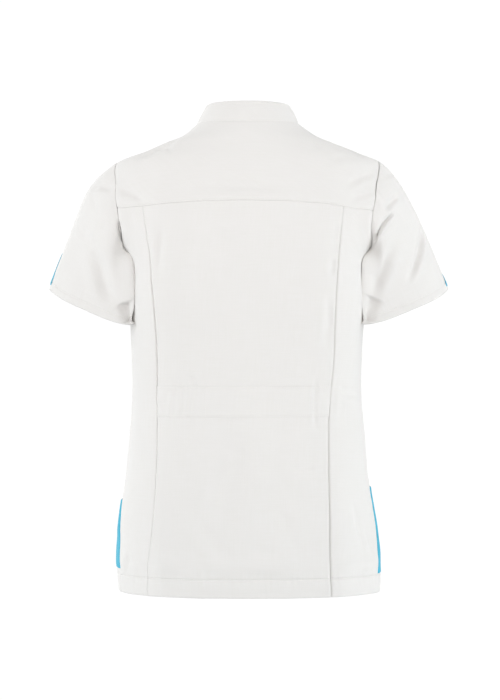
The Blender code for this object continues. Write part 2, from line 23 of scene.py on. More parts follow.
import bpy
import numpy as np
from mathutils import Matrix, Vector

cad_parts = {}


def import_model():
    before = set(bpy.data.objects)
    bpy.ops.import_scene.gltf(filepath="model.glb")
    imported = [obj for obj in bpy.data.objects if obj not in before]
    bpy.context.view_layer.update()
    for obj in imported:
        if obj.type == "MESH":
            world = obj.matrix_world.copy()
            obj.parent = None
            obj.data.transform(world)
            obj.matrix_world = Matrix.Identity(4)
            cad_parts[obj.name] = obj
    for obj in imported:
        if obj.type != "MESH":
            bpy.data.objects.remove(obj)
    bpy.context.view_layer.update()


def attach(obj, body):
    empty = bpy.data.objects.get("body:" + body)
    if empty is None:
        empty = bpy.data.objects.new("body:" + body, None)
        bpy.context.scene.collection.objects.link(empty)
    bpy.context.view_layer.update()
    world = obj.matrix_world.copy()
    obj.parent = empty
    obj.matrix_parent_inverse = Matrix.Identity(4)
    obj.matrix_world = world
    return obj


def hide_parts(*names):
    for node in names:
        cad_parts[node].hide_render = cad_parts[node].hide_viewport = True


LOG = logging.getLogger("tunic")
Array = np.ndarray
Knots = tuple[tuple[float, float], ...]  # pairs of a place and the value there, in rising order
Vector3 = tuple[float, float, float]

BODY = "root"
UV_NAME = "weave"

# ---- Cloth and sewing, in metres
MM = 0.001
THICKNESS = 0.50 * MM  # one layer of poly-cotton twill
TURNED = 1.15 * MM  # from a hem's outer layer to the layer turned up inside it
LAY_ON = 0.85 * MM  # from a panel to a piece sewn flat on it
SPACING = 2.9 * MM  # between the rows and columns of a piece's mesh
HEM_DEPTH = 27.0 * MM
HEM_STITCH = -0.679
TOPSTITCH = 2.0 * MM  # from a seam to its row of topstitching
EDGE_STITCH = 1.8 * MM
PRESSED = 7 * MM  # how wide the allowances pressed under a panel are
OVERLAP = 0.015  # how far each front passes the centre line
LAPPED = 0.95 * MM  # the right front stands out by this, and the left one stands in
LAP_FADE = 0.022
BELT_BOTTOM, BELT_TOP = -0.4415, -0.3955
LEFT_TACK, RIGHT_TACK = 17.0, -32.0  # around of the stitches that hold the half belt's elastic
FRONT_YOKE_TURN, FRONT_YOKE_NECK = -22.0, 114.0  # where the forward seam meets the armhole and the neck

# Offsets from a seam or an edge at which a piece has a column or a row, so that its rolled edge and its
# stitch line are drawn.
SEAM_ROWS = np.array((0.08, 0.3, 0.6, 0.95, 1.3, 1.65, 2.0, 2.35, 2.8, 3.4, 4.3, 5.6, 7.2)) * MM
HEM_ROWS = np.array((0, 0.5, 1.2, 2.4, 4.5, 7.5, 11, 15, 19, 22, 24, 25.4, 26.3, 27, 27.7, 28.6, 30, 32)) * MM
CUFF_ROWS = np.array((0.0, 0.5, 1.2, 2.4, 4.2, 6.2, 8.0, 9.4, 10.3, 11.0, 11.7, 12.6, 14.0, 16.0)) * MM
INSERT_ROWS = np.array((0.0, 0.3, 0.7, 1.2, 1.8, 2.4, 3.2)) * MM

WAVE_UNIT = 2 * math.pi / 20  # a wave texture's scale for bands 1 metre apart
MIXED = {"data_type": "RGBA"}


class Side(IntEnum):
    """The wearer's two sides. The number is the side's sign along X."""

    LEFT = 1
    RIGHT = -1

    @property
    def word(self) -> str:
        """The side's name, as the nodes and pieces have it."""
        return self.name.lower()


LEFT, RIGHT = Side.LEFT, Side.RIGHT


class Edge(Enum):
    """The four edges of a grid of cloth."""

    BOTTOM = "bottom"
    TOP = "top"
    FIRST = "first"
    LAST = "last"


class Slot(Enum):
    """The record's material slots."""

    WHITE = "white_cloth"
    BLUE = "blue_cloth"
    STUD = "stud"


class Held(Enum):
    """How a cut piece is held."""

    HUNG = "hung"
    LAID = "laid"
    FOLDED = "folded"


class Table:
    """Rows of numbers in named columns, read on a smooth curve through the rows, which rise in the first."""

    def __init__(self, names: str, *rows: Sequence[float]) -> None:
        """Keeps the rows as columns."""
        self.columns = dict(zip(names.split(), np.array(rows).T))
        self.knots = next(iter(self.columns.values()))

    def at(self, column: str, where: Array) -> Array:
        """A column's value at places in the first column.

        Args:
            column: the column's name.
            where: the places.

        Returns:
            The value at each place.
        """
        knots, values = self.knots, self.columns[column]
        slopes = np.gradient(values, knots)
        low = np.clip(np.searchsorted(knots, where, side="right") - 1, 0, len(knots) - 2)
        span = knots[low + 1] - knots[low]
        t = (where - knots[low]) / span
        return (
            (2 * t**3 - 3 * t**2 + 1) * values[low]
            + (t**3 - 2 * t**2 + t) * span * slopes[low]
            + (3 * t**2 - 2 * t**3) * values[low + 1]
            + (t**3 - t**2) * span * slopes[low + 1]
        )


# The body's level rings: their heights at the centre back, the sides and the centre front, their half width,
# their depths behind and in front of the side seams, how square they are, and their middle.
RINGS = Table(
    "up side_z front_z half_width back_y front_y square centre_x",
    (-0.706, -0.7070, -0.705, 0.1985, 0.1300, 0.134, 2.30, -0.0035),  # hem edge
    (-0.655, -0.6550, -0.653, 0.1995, 0.1300, 0.135, 2.30, -0.0010),  # widest, over the hips
    (-0.600, -0.6000, -0.598, 0.1940, 0.1265, 0.134, 2.30, 0.0000),
    (-0.540, -0.5400, -0.538, 0.1850, 0.1200, 0.133, 2.30, 0.0000),
    (-0.480, -0.4800, -0.478, 0.1800, 0.1120, 0.130, 2.30, 0.0000),
    (-0.415, -0.4150, -0.413, 0.1750, 0.1060, 0.128, 2.30, 0.0015),  # waist
    (-0.340, -0.3400, -0.338, 0.1755, 0.1090, 0.134, 2.55, 0.0010),
    (-0.270, -0.2700, -0.268, 0.1785, 0.1160, 0.146, 3.00, 0.0000),  # bust
    (-0.200, -0.2000, -0.200, 0.1805, 0.1210, 0.146, 3.05, 0.0000),  # armpit
    (-0.160, -0.1680, -0.170, 0.1960, 0.1210, 0.137, 2.60, 0.0000),
    (-0.121, -0.1420, -0.145, 0.2100, 0.1155, 0.123, 2.30, 0.0000),  # yoke seam
    (-0.080, -0.1000, -0.119, 0.2120, 0.1030, 0.107, 2.20, 0.0000),
    (-0.048, -0.0545, -0.101, 0.1995, 0.0905, 0.094, 2.05, 0.0000),  # shoulder point
    (-0.034, -0.0420, -0.092, 0.1695, 0.0835, 0.087, 2.00, 0.0000),
    (-0.021, -0.0300, -0.083, 0.1395, 0.0775, 0.080, 2.00, 0.0000),
    (-0.010, -0.0165, -0.075, 0.1060, 0.0715, 0.074, 2.00, 0.0000),
    (0.000, 0.0035, -0.067, 0.0775, 0.0655, 0.069, 2.00, 0.0000),  # neck seam
)
HEM, ARMPIT, SHOULDER, NECK = -0.706, -0.200, -0.048, 0.0

# The princess seams: how far out they are, and how far the cloth has slipped to the wearer's left.
PRINCESS = Table(
    "up across slip",
    (-0.706, 0.1365, 0.0125),
    (-0.662, 0.1345, 0.0125),
    (-0.600, 0.1310, 0.0090),
    (-0.510, 0.1285, 0.0075),
    (-0.420, 0.1290, 0.0060),
    (-0.360, 0.1320, 0.0030),
    (-0.290, 0.1345, 0.0035),
    (-0.200, 0.1415, 0.0055),
    (-0.115, 0.1500, 0.0070),
)

LEFT_SIDE_SEAM = (
    (-0.706, 76.5),
    (-0.665, 75.0),
    (-0.635, 76.5),
    (-0.605, 79.5),
    (-0.580, 84.5),
    (-0.550, 87.5),
    (-0.480, 89.0),
    (-0.400, 90.0),
    (-0.200, 90.0),
)
RIGHT_SIDE_SEAM = (
    (-0.706, 76.5),
    (-0.670, 73.5),
    (-0.645, 76.0),
    (-0.615, 81.0),
    (-0.550, 87.0),
    (-0.480, 89.0),
    (-0.400, 90.0),
    (-0.200, 90.0),
)
SIDE_SEAMS = {LEFT: Table("up around", *LEFT_SIDE_SEAM), RIGHT: Table("up around", *RIGHT_SIDE_SEAM)}


class Armhole(NamedTuple):
    """How far an armhole's loop reaches round the back and the front, and where the yoke seam meets it.

    Its roundness under 1 squares the loop, and over 1 draws it in; the lower back has its own.
    """

    back_reach: float
    front_reach: float
    yoke_turn: float
    lower_roundness: float
    roundness: float = 0.7


ARMHOLES = {LEFT: Armhole(27.5, 35.0, 81.0, 1.1), RIGHT: Armhole(31.0, 36.0, 86.0, 1.7)}

# How much each edge beside an armhole rolls, by height.
ARMHOLE_ROLL = ((-0.24, 1.0), (-0.20, 0.05), (-0.165, 0.05), (-0.14, 0.10), (-0.11, 0.30), (-0.05, 0.30))
# How much each princess seam rolls, by height: most over the shoulder blades, and on the right below the
# waist too.
LEFT_PRINCESS_ROLL = ((-0.70, 0.6), (-0.64, 0.5), (-0.55, 1.0), (-0.45, 1.3), (-0.36, 2.4), (-0.23, 2.2))
RIGHT_PRINCESS_ROLL = ((-0.70, 2.0), (-0.62, 2.6), (-0.50, 2.4), (-0.40, 1.6), (-0.31, 2.2), (-0.20, 1.8))
PRINCESS_ROLL = {
    LEFT: LEFT_PRINCESS_ROLL + ((-0.16, 1.0), (-0.13, 0.4)),
    RIGHT: RIGHT_PRINCESS_ROLL + ((-0.14, 0.6),),
}
# How much the head of each sleeve rolls into its seam, by turn.
LEFT_HEAD_BACK = ((70.0, 0.2), (90.0, 0.0), (98.0, 0.9), (115.0, 1.5), (132.0, 1.2), (145.0, 0.0), (180, 0.0))
RIGHT_HEAD_BACK = ((70.0, 0.4), (100.0, 0.4), (115.0, 0.0), (180.0, 0.0))
HEAD_ROLL = {
    LEFT: ((-180.0, 0.3), (0.0, 0.3)) + LEFT_HEAD_BACK,
    RIGHT: ((-180.0, 0.3), (0.0, 0.3)) + RIGHT_HEAD_BACK,
}


class SleeveHem(NamedTuple):
    """A sleeve hem's loop, from its outer end at the top of the arm to its inner end at the underarm seam.

    depth scales the loop from front to back, drop is how much lower it hangs at the back and the front, and
    fullness lengthens the handles along the top of the arm.
    """

    outer_x: float
    outer_z: float
    inner_x: float
    inner_z: float
    depth: float
    drop: float
    fullness: float


SLEEVE_HEMS = {
    LEFT: SleeveHem(0.3045, -0.247, 0.1770, -0.3030, 1.00, 0.0080, 1.25),
    RIGHT: SleeveHem(0.3085, -0.2475, 0.1770, -0.3020, 0.95, 0.0080, 0.88),
}

# A sleeve hem's loop seen from above: out is 1 at its outer end and -1 at its inner end. The inner back
# corner lies against the body, as on an arm that hangs close to it.
HEM_LOOP = Table(
    "turn out y",
    (-212.0, -1.035, 0.034),
    (-200.0, -1.060, 0.054),
    (-192.0, -1.035, 0.034),
    (-180.0, -1.000, 0.004),
    (-165.0, -0.985, -0.022),
    (-140.0, -0.860, -0.045),
    (-110.0, -0.450, -0.055),
    (-80.0, 0.020, -0.057),
    (-50.0, 0.520, -0.050),
    (-20.0, 0.920, -0.032),
    (0.0, 1.000, -0.016),
    (20.0, 0.940, 0.003),
    (50.0, 0.600, 0.026),
    (80.0, 0.150, 0.041),
    (110.0, -0.350, 0.051),
    (135.0, -0.750, 0.057),
    (150.0, -0.960, 0.059),
    (160.0, -1.060, 0.054),
    (168.0, -1.035, 0.034),
    (180.0, -1.000, 0.004),
    (195.0, -0.985, -0.022),
    (212.0, -0.900, -0.040),
)


class SleeveLine(NamedTuple):
    """A line down a sleeve: the way it sets off in, how far it leans out at the hem, and its two handles."""

    out: float
    back: float
    up: float
    end_out: float
    start_handle: float
    end_handle: float


SLEEVE_LINES = (
    SleeveLine(0.84, 0.00, -0.54, 0.40, 0.060, 0.120),  # along the top of the arm
    SleeveLine(0.68, 0.04, -0.72, 0.30, 0.050, 0.070),  # down the back
    SleeveLine(0.22, 0.20, -0.92, 0.00, 0.020, 0.050),  # along the underarm seam
    SleeveLine(0.66, -0.22, -0.72, 0.30, 0.050, 0.070),  # down the front
)

# How far the inner back corner of each sleeve is drawn in against the body, and back, down the sleeve.
TUCKS = {
    LEFT: Table(
        "step inward back",
        (0.00, 0.0, 0.0),
        (0.05, 0.0070, 0.008),
        (0.10, 0.0140, 0.014),
        (0.20, 0.0160, 0.018),
        (0.35, 0.0150, 0.018),
        (0.50, 0.0130, 0.014),
        (0.80, 0.0070, 0.004),
        (1.00, 0.0020, 0.0),
    ),
    RIGHT: Table(
        "step inward back",
        (0.00, 0.0, 0.0),
        (0.04, 0.0085, 0.010),
        (0.10, 0.0160, 0.020),
        (0.20, 0.0170, 0.026),
        (0.35, 0.0140, 0.022),
        (0.50, 0.0120, 0.016),
        (0.80, 0.0060, 0.004),
        (1.00, 0.0, 0.0),
    ),
}


# ---- Small tools
def unit(vectors: Array) -> Array:
    """The vectors at length 1."""
    return vectors / np.linalg.norm(vectors, axis=-1, keepdims=True)


def smoothstep(share: Array) -> Array:
    """0 up to share 0, 1 from share 1 on, and a smooth rise between."""
    share = np.clip(share, 0.0, 1.0)
    return share * share * (3 - 2 * share)


def bell(off: Array, width: float) -> Array:
    """1 where `off` is 0, falling smoothly to nothing about two widths away."""
    return np.exp(-((off / width) ** 2))


def follow(knots: Knots, at: Array) -> Array:
    """The values at places on the straight lines between knots."""
    return np.interp(at, *zip(*knots))


def places_of(first: Array, second: Array) -> Array:
    """An array of places from two arrays."""
    return np.stack(np.broadcast_arrays(first, second), axis=-1)


def lengths_along(points: Array, axis: int) -> Array:
    """How far along a grid's lines each point is.

    Args:
        points: the grid's points.
        axis: 0 for its columns, 1 for its rows.

    Returns:
        The distance of each point from its line's first one.
    """
    steps = np.linalg.norm(np.diff(points, axis=axis), axis=-1)
    start = np.zeros_like(np.take(steps, [0], axis=axis))
    return np.cumsum(np.concatenate((start, steps), axis=axis), axis=axis)


def dense_path(path: Sequence[Sequence[float]], steps: int = 8) -> Array:
    """Puts places into a path, so that it follows a curved surface.

    Args:
        path: the path's corners.
        steps: how many steps there are from one corner to the next.

    Returns:
        The path's places.
    """
    corners = np.array(path, dtype=float)
    at = np.linspace(0, len(corners) - 1, (len(corners) - 1) * steps + 1)
    return np.stack([np.interp(at, np.arange(len(corners)), corners[:, axis]) for axis in (0, 1)], axis=-1)


def ripple(along: Array, seed: int) -> Array:
    """Small uneven waves along an edge, between 6 and 19 mm long.

    Args:
        along: the distances along the edge.
        seed: which waves they are.

    Returns:
        A height at each distance, mostly between -1 and 1.
    """
    rng = np.random.default_rng(1000 + seed)
    sizes, phases = rng.uniform(6 * MM, 19 * MM, 7), rng.uniform(0, 2 * math.pi, 7)
    return sum(np.sin(2 * math.pi * along / size + phase) for size, phase in zip(sizes, phases)) / 2.6


@dataclass
class Unevenness:
    """A smooth, repeatable wander: a sum of waves whose lengths lie between two limits, in metres.

    A stretch under 1 makes the waves longer along that axis.
    """

    seed: int
    longest: float
    shortest: float
    stretch: Vector3 = (1.0, 1.0, 1.0)
    count: int = 14

    def __post_init__(self) -> None:
        """Draws the waves."""
        rng = np.random.default_rng(self.seed)
        ways = unit(rng.normal(size=(self.count, 3)))
        sizes = np.exp(rng.uniform(math.log(self.shortest), math.log(self.longest), self.count))
        self.waves = 2 * math.pi * ways / sizes[:, None] * np.asarray(self.stretch)
        self.phases = rng.uniform(0, 2 * math.pi, self.count)

    def at(self, points: Array) -> Array:
        """Values mostly between -1 and 1 at the points."""
        return np.sin(points @ self.waves.T + self.phases).sum(axis=-1) / math.sqrt(self.count)


# ---- Folds and seams
@dataclass(frozen=True)
class Crease:
    """A soft hollow along a path of places, with a raised lip on one side if `lip` isn't 0.

    depth is how deep it is and width its half width, both in millimetres. lip is the raised side's height as
    a share of the depth, and its sign says which side. ends is the share of its length over which each end
    fades out. A sharp one comes to a line, as where cloth folds over on itself.
    """

    path: tuple[tuple[float, float], ...]
    depth: float
    width: float
    lip: float = 0.0
    ends: float = 0.35
    sharp: bool = False

    def height(self, points: Array, normals: Array, line: Array) -> Array:
        """How far this crease moves each point outwards, which is negative in its hollow.

        Args:
            points: the cloth's points.
            normals: the outward directions there.
            line: the crease's path as points.

        Returns:
            A height for each point.
        """
        width = self.width * MM
        middle = (line.max(axis=0) + line.min(axis=0)) / 2
        reach = np.linalg.norm(line - middle, axis=1).max() + 4 * width
        close = np.linalg.norm(points - middle, axis=-1) < reach
        made = np.zeros(points.shape[:-1])
        if not close.any():
            return made
        spots, ways = points[close], normals[close]
        pieces = np.linalg.norm(np.diff(line, axis=0), axis=1)
        total, passed = pieces.sum(), 0.0
        nearest = np.full(len(spots), np.inf)
        along, across = np.zeros_like(nearest), np.zeros_like(nearest)
        for first, last, length in zip(line[:-1], line[1:], pieces):
            run = last - first
            share = np.clip(((spots - first) @ run) / (run @ run), 0.0, 1.0)
            off = spots - (first + share[:, None] * run)
            away = np.linalg.norm(off, axis=-1)
            side = np.sign(np.sum(np.cross(run, ways) * off, axis=-1))
            closer = away < nearest
            nearest = np.where(closer, away, nearest)
            along = np.where(closer, passed + share * length, along)
            across = np.where(closer, side * away, across)
            passed += length
        share = along / total
        fade = smoothstep(share / self.ends) * smoothstep((1 - share) / self.ends) if self.ends else 1.0
        rise = -np.exp(-nearest / width) if self.sharp else -bell(nearest, width)
        if self.lip:
            rise = rise + abs(self.lip) * bell(across * np.sign(self.lip) / width - 1.7, 1.0)
        made[close] = self.depth * MM * fade * rise
        return made


@dataclass(frozen=True)
class SeamEdge:
    """How cloth behaves beside a sewn edge.

    roll is how deep its edge turns down into the seam and roll_width over how much of it, pressed how wide
    the allowances pressed under it are and lift how far they lift it, stitch how far in its row of stitching
    is and dip how deep that pulls it in, and pucker how high it ripples. shares says how much of the roll
    there is from place to place.
    """

    roll: float = 1.2 * MM
    roll_width: float = 0.8 * MM
    pressed: float = 0.0
    lift: float = 0.18 * MM
    stitch: float = 0.0
    dip: float = 0.25 * MM
    pucker: float = 0.12 * MM
    seed: int = 0
    shares: Knots = ((0.0, 1.0),)

    def height(self, off: Array, along: Array, where: Any = 0.0) -> Array:
        """How far the edge moves each point outwards.

        Args:
            off: each point's distance from the edge.
            along: each point's distance along the edge.
            where: the place at which each point's share of the roll is read.

        Returns:
            A height for each point.
        """
        share, roll = follow(self.shares, where), np.exp(-off / self.roll_width)
        rise = -self.roll * share * roll
        if self.pressed:
            rise = rise + self.lift * share * smoothstep((self.pressed - off) / (4 * MM)) * (1 - roll)
        if self.stitch:
            rise = rise - self.dip * bell(off - self.stitch, 0.8 * MM)
        if self.pucker:
            swell = 0.6 + 0.4 * np.sin(along / 0.031 + self.seed)
            waves = self.pucker * swell * ripple(along, self.seed)
            rise = rise + waves * np.exp(-off / (7 * MM)) * (1 - roll)
        return rise


@dataclass(frozen=True)
class Hem:
    """A hem turned up inside and stitched.

    depth is how deep it is, seed which ripples it gets, swell how far it swells above its stitches, and drop
    the way in which its edge points.
    """

    depth: float
    seed: int = 0
    swell: float = 5.5 * MM
    drop: Vector3 = (0.0, 0.0, -1.0)

    def height(self, grid: "Grid") -> Array:
        """How the hem moves its piece: a dip at the stitches, soft uneven swellings beside it, small ripples.

        Args:
            grid: the piece.

        Returns:
            A height for each point.
        """
        along, off = grid.first, grid.bottom - self.depth
        stitched = bell(off, 1.2 * MM)
        dip = -(0.55 + 0.10 * self.swell / MM) * MM * stitched
        uneven = 0.55 + 0.45 * np.sin(along / 0.047 + self.seed) * np.sin(along / 0.019 + 2.1 * self.seed)
        held = 0.3 + 0.7 * smoothstep(np.minimum(grid.first, grid.last) / (35 * MM))
        above = self.swell * held * uneven * bell(off - 19 * MM, 12 * MM)
        below = 0.15 * self.swell * held * uneven * bell(off + 12 * MM, 7 * MM)
        waves = 0.30 * MM * ripple(along, self.seed) * np.exp(-np.abs(off) / (9 * MM)) * (1 - stitched)
        return dip + above + below + waves


BODY_CREASES = (
    # Hollows of the form itself: shoulder, side, yoke, lower back and the fronts
    Crease(((90.0, -0.010), (90.0, -0.036)), 5.0, 30, ends=0.0),
    Crease(((84.0, -0.615), (84.0, -0.668)), 2.0, 16),
    Crease(((-18.0, -0.098), (20.0, -0.098)), 2.0, 12, ends=0.0),
    Crease(((2.0, -0.500), (19.0, -0.640)), 3.5, 22, ends=0.0),
    Crease(((160.0, -0.480), (140.0, -0.620)), 3.5, 24, ends=0.0),
    Crease(((-150.0, -0.300), (-128.0, -0.430)), 3.0, 22, ends=0.0),
    # Yoke
    Crease(((66.0, -0.083), (54.0, -0.092), (43.0, -0.108)), 3.4, 6, lip=0.5),
    Crease(((16.0, -0.088), (5.0, -0.099), (-6.0, -0.101), (-13.0, -0.093)), 2.4, 9, lip=0.3),
    Crease(((57.0, -0.056), (52.0, -0.042), (50.0, -0.028), (55.0, -0.014)), 3.2, 7.5, lip=-0.2),
    Crease(((-60.0, -0.052), (-69.0, -0.028), (-80.0, -0.012)), 2.8, 7, lip=-0.2),
    Crease(((-70.0, -0.060), (-52.0, -0.072), (-38.0, -0.092)), 2.6, 5.5, lip=-0.5),
    Crease(((-64.0, -0.085), (-52.0, -0.096), (-42.0, -0.108)), 2.2, 5, lip=-0.5),
    Crease(((-62.0, -0.044), (-42.0, -0.050), (-30.0, -0.064)), 1.8, 6, lip=-0.4),
    Crease(((60.0, -0.030), (44.0, -0.034), (34.0, -0.046)), 1.8, 5, lip=0.4),
    Crease(((-44.0, -0.020), (-36.0, -0.040)), 1.6, 5),
    # Upper back
    Crease(((51.0, -0.170), (44.0, -0.240)), 2.2, 12),
    Crease(((-15.0, -0.140), (12.0, -0.150), (2.0, -0.205)), 2.6, 26, ends=0.2),
    Crease(((33.5, -0.145), (36.5, -0.190), (40.5, -0.245)), 2.4, 6.5, lip=0.45),
    Crease(((-37.0, -0.142), (-36.0, -0.205)), 1.4, 5.5),
    Crease(((-36.5, -0.205), (-34.0, -0.236)), 2.4, 5.0, lip=0.3),
    Crease(((-32.0, -0.255), (-35.5, -0.300), (-37.0, -0.350)), 1.8, 6.0, lip=0.3),
    Crease(((10.0, -0.150), (16.0, -0.270)), 1.2, 10.0),
    # Waist and below
    Crease(((-33.0, -0.378), (-31.5, -0.466)), 1.8, 3.4, lip=0.4, ends=0.25),
    Crease(((16.0, -0.4475), (-2.0, -0.4485)), 1.4, 2.8),
    Crease(((22.0, -0.380), (26.0, -0.392)), 1.4, 5.0),
    Crease(((-46.0, -0.392), (-58.0, -0.408), (-76.0, -0.404)), 1.8, 6.0, lip=0.4),
    Crease(((-18.0, -0.523), (-31.0, -0.518)), 1.4, 4.5),
    Crease(((26.0, -0.560), (12.0, -0.625), (2.0, -0.668)), 1.6, 12.0, lip=0.3),
    Crease(((-10.0, -0.560), (-20.0, -0.655)), 1.5, 13.0),
    Crease(((-54.0, -0.560), (-60.0, -0.655)), 2.4, 7.0, lip=0.3),
    Crease(((-64.0, -0.600), (-70.0, -0.660)), 2.2, 6.0),
    Crease(((60.0, -0.640), (67.0, -0.682)), 2.4, 6.0, lip=0.4),
    # Fronts
    Crease(((121.0, -0.120), (131.0, -0.165), (146.0, -0.205)), 4.3, 8.0, lip=0.35),
    Crease(((-123.0, -0.130), (-133.0, -0.170), (-143.0, -0.225)), 4.1, 8.0, lip=-0.35),
    Crease(((104.0, -0.215), (122.0, -0.248), (138.0, -0.258)), 3.8, 7.5, lip=0.3),
    Crease(((-103.0, -0.225), (-118.0, -0.262), (-136.0, -0.280)), 3.5, 7.5, lip=-0.3),
    Crease(((108.0, -0.395), (128.0, -0.412), (146.0, -0.408)), 2.9, 6.0, lip=0.3),
    Crease(((-106.0, -0.405), (-126.0, -0.422), (-140.0, -0.414)), 2.9, 6.0, lip=-0.3),
    Crease(((172.0, -0.275), (154.0, -0.350), (148.0, -0.430)), 3.2, 11.0),
    Crease(((-172.0, -0.420), (-160.0, -0.500), (-156.0, -0.600)), 3.5, 11.0),
    Crease(((176.0, -0.130), (168.0, -0.180)), 1.7, 5.0),
    Crease(((-174.0, -0.235), (-162.0, -0.250)), 1.7, 4.5),
)

SLEEVE_CREASES = {
    LEFT: (
        Crease(((95.0, 0.0), (107.0, 0.02), (119.0, 0.02), (132.0, 0.0)), 5.5, 2.2, ends=0.3),
        Crease(((11.0, 0.37), (24.0, 0.27), (44.0, 0.11), (58.0, 0.00)), 3.4, 5.5, lip=0.4),
        Crease(((73.0, 0.46), (93.0, 0.58), (109.0, 0.74), (130.0, 0.88)), 6.0, 11, lip=0.2),
        Crease(((139.0, 0.80), (146.0, 0.90), (152.0, 1.0)), 11.0, 9, ends=0.1),
        Crease(((30.0, 0.62), (62.0, 0.52), (88.0, 0.42)), 1.6, 8, lip=0.3),
        Crease(((20.0, 0.18), (40.0, 0.30), (60.0, 0.30)), 1.4, 7),
        Crease(((-20.0, 0.28), (-52.0, 0.12)), 2.0, 7, lip=-0.3),
        Crease(((-70.0, 0.20), (-110.0, 0.30), (-150.0, 0.62)), 4.0, 9, lip=-0.3),
        Crease(((-80.0, 0.45), (-110.0, 0.60), (-140.0, 0.95)), 5.5, 15),
    ),
    RIGHT: (
        Crease(((36.0, 0.28), (57.0, 0.20), (76.0, 0.12)), 3.4, 4.5, lip=-0.5),
        Crease(
            ((58.0, 0.28), (82.0, 0.19), (98.0, 0.14), (114.0, 0.09), (130.0, 0.05)),
            7.5,
            2.4,
            lip=-0.4,
            ends=0.2,
            sharp=True,
        ),
        Crease(((73.0, 0.40), (108.0, 0.45), (129.0, 0.56), (142.0, 0.80)), 4.5, 9, lip=-0.3),
        Crease(((134.0, 0.76), (144.0, 0.88), (150.0, 1.0)), 8.0, 10, ends=0.1),
        Crease(
            ((20.0, 0.57), (36.0, 0.65), (46.0, 0.68), (60.0, 0.71), (73.0, 0.75), (88.0, 0.80)),
            5.0,
            5,
            lip=-0.5,
        ),
        Crease(((8.0, 0.20), (30.0, 0.10), (44.0, 0.04)), 1.8, 5, lip=-0.4),
        Crease(((-25.0, 0.24), (-58.0, 0.12)), 2.0, 7, lip=0.3),
        Crease(((-60.0, 0.26), (-100.0, 0.22), (-148.0, 0.14)), 4.0, 7, lip=0.3),
        Crease(((-90.0, 0.40), (-112.0, 0.62), (-135.0, 0.98)), 5.5, 15),
    ),
}


# ---- Forms
@dataclass
class Form:
    """A smooth surface of places with the folds of its cloth, which every piece on it takes its points from.

    The cloth wanders in long streaks and in small dimples, whose heights are given in metres.
    """

    creases: tuple[Crease, ...]
    seed: int
    streak_height: float
    dimple_height: float

    def __post_init__(self) -> None:
        """Finds the creases' lines and draws the cloth's unevenness."""
        self.lines = [(crease, self.surface(dense_path(crease.path))) for crease in self.creases]
        self.streaks = Unevenness(self.seed, 0.110, 0.045, (1.0, 1.0, 0.28))
        self.dimples = Unevenness(self.seed + 1, 0.050, 0.022)

    def surface(self, places: Array) -> Array:
        """Points of the smooth surface.

        Args:
            places: an array of places.

        Returns:
            A point for each place.
        """
        raise NotImplementedError

    def outward(self, places: Array) -> Array:
        """The outward directions at an array of places."""
        raise NotImplementedError

    def slopes(self, places: Array, turn: float, rise: float) -> tuple[Array, Array]:
        """How the surface runs on either side of an array of places.

        Args:
            places: the places.
            turn: how far off it is read along their first number.
            rise: how far off it is read along their second.

        Returns:
            The way along each number.
        """
        steps = np.array(((turn, 0.0), (0.0, rise)))
        along, rising = (self.surface(places + step) - self.surface(places - step) for step in steps)
        return along, rising

    def freedom(self, places: Array) -> Array:
        """How freely the cloth wanders at an array of places, from 0 to 1."""
        return np.ones(places.shape[:-1])

    def extra(self, points: Array, places: Array) -> Array:
        """What else moves the cloth outwards at its points."""
        return np.zeros(points.shape[:-1])

    def cloth(self, places: Array) -> tuple[Array, Array]:
        """The form's cloth with its folds.

        Args:
            places: an array of places.

        Returns:
            The points, and the outward directions there.
        """
        points, normals = self.surface(places), self.outward(places)
        uneven = self.streak_height * self.streaks.at(points) + self.dimple_height * self.dimples.at(points)
        height = uneven * self.freedom(places) + self.extra(points, places)
        for crease, line in self.lines:
            height = height + crease.height(points, normals, line)
        return points + height[..., None] * normals, normals


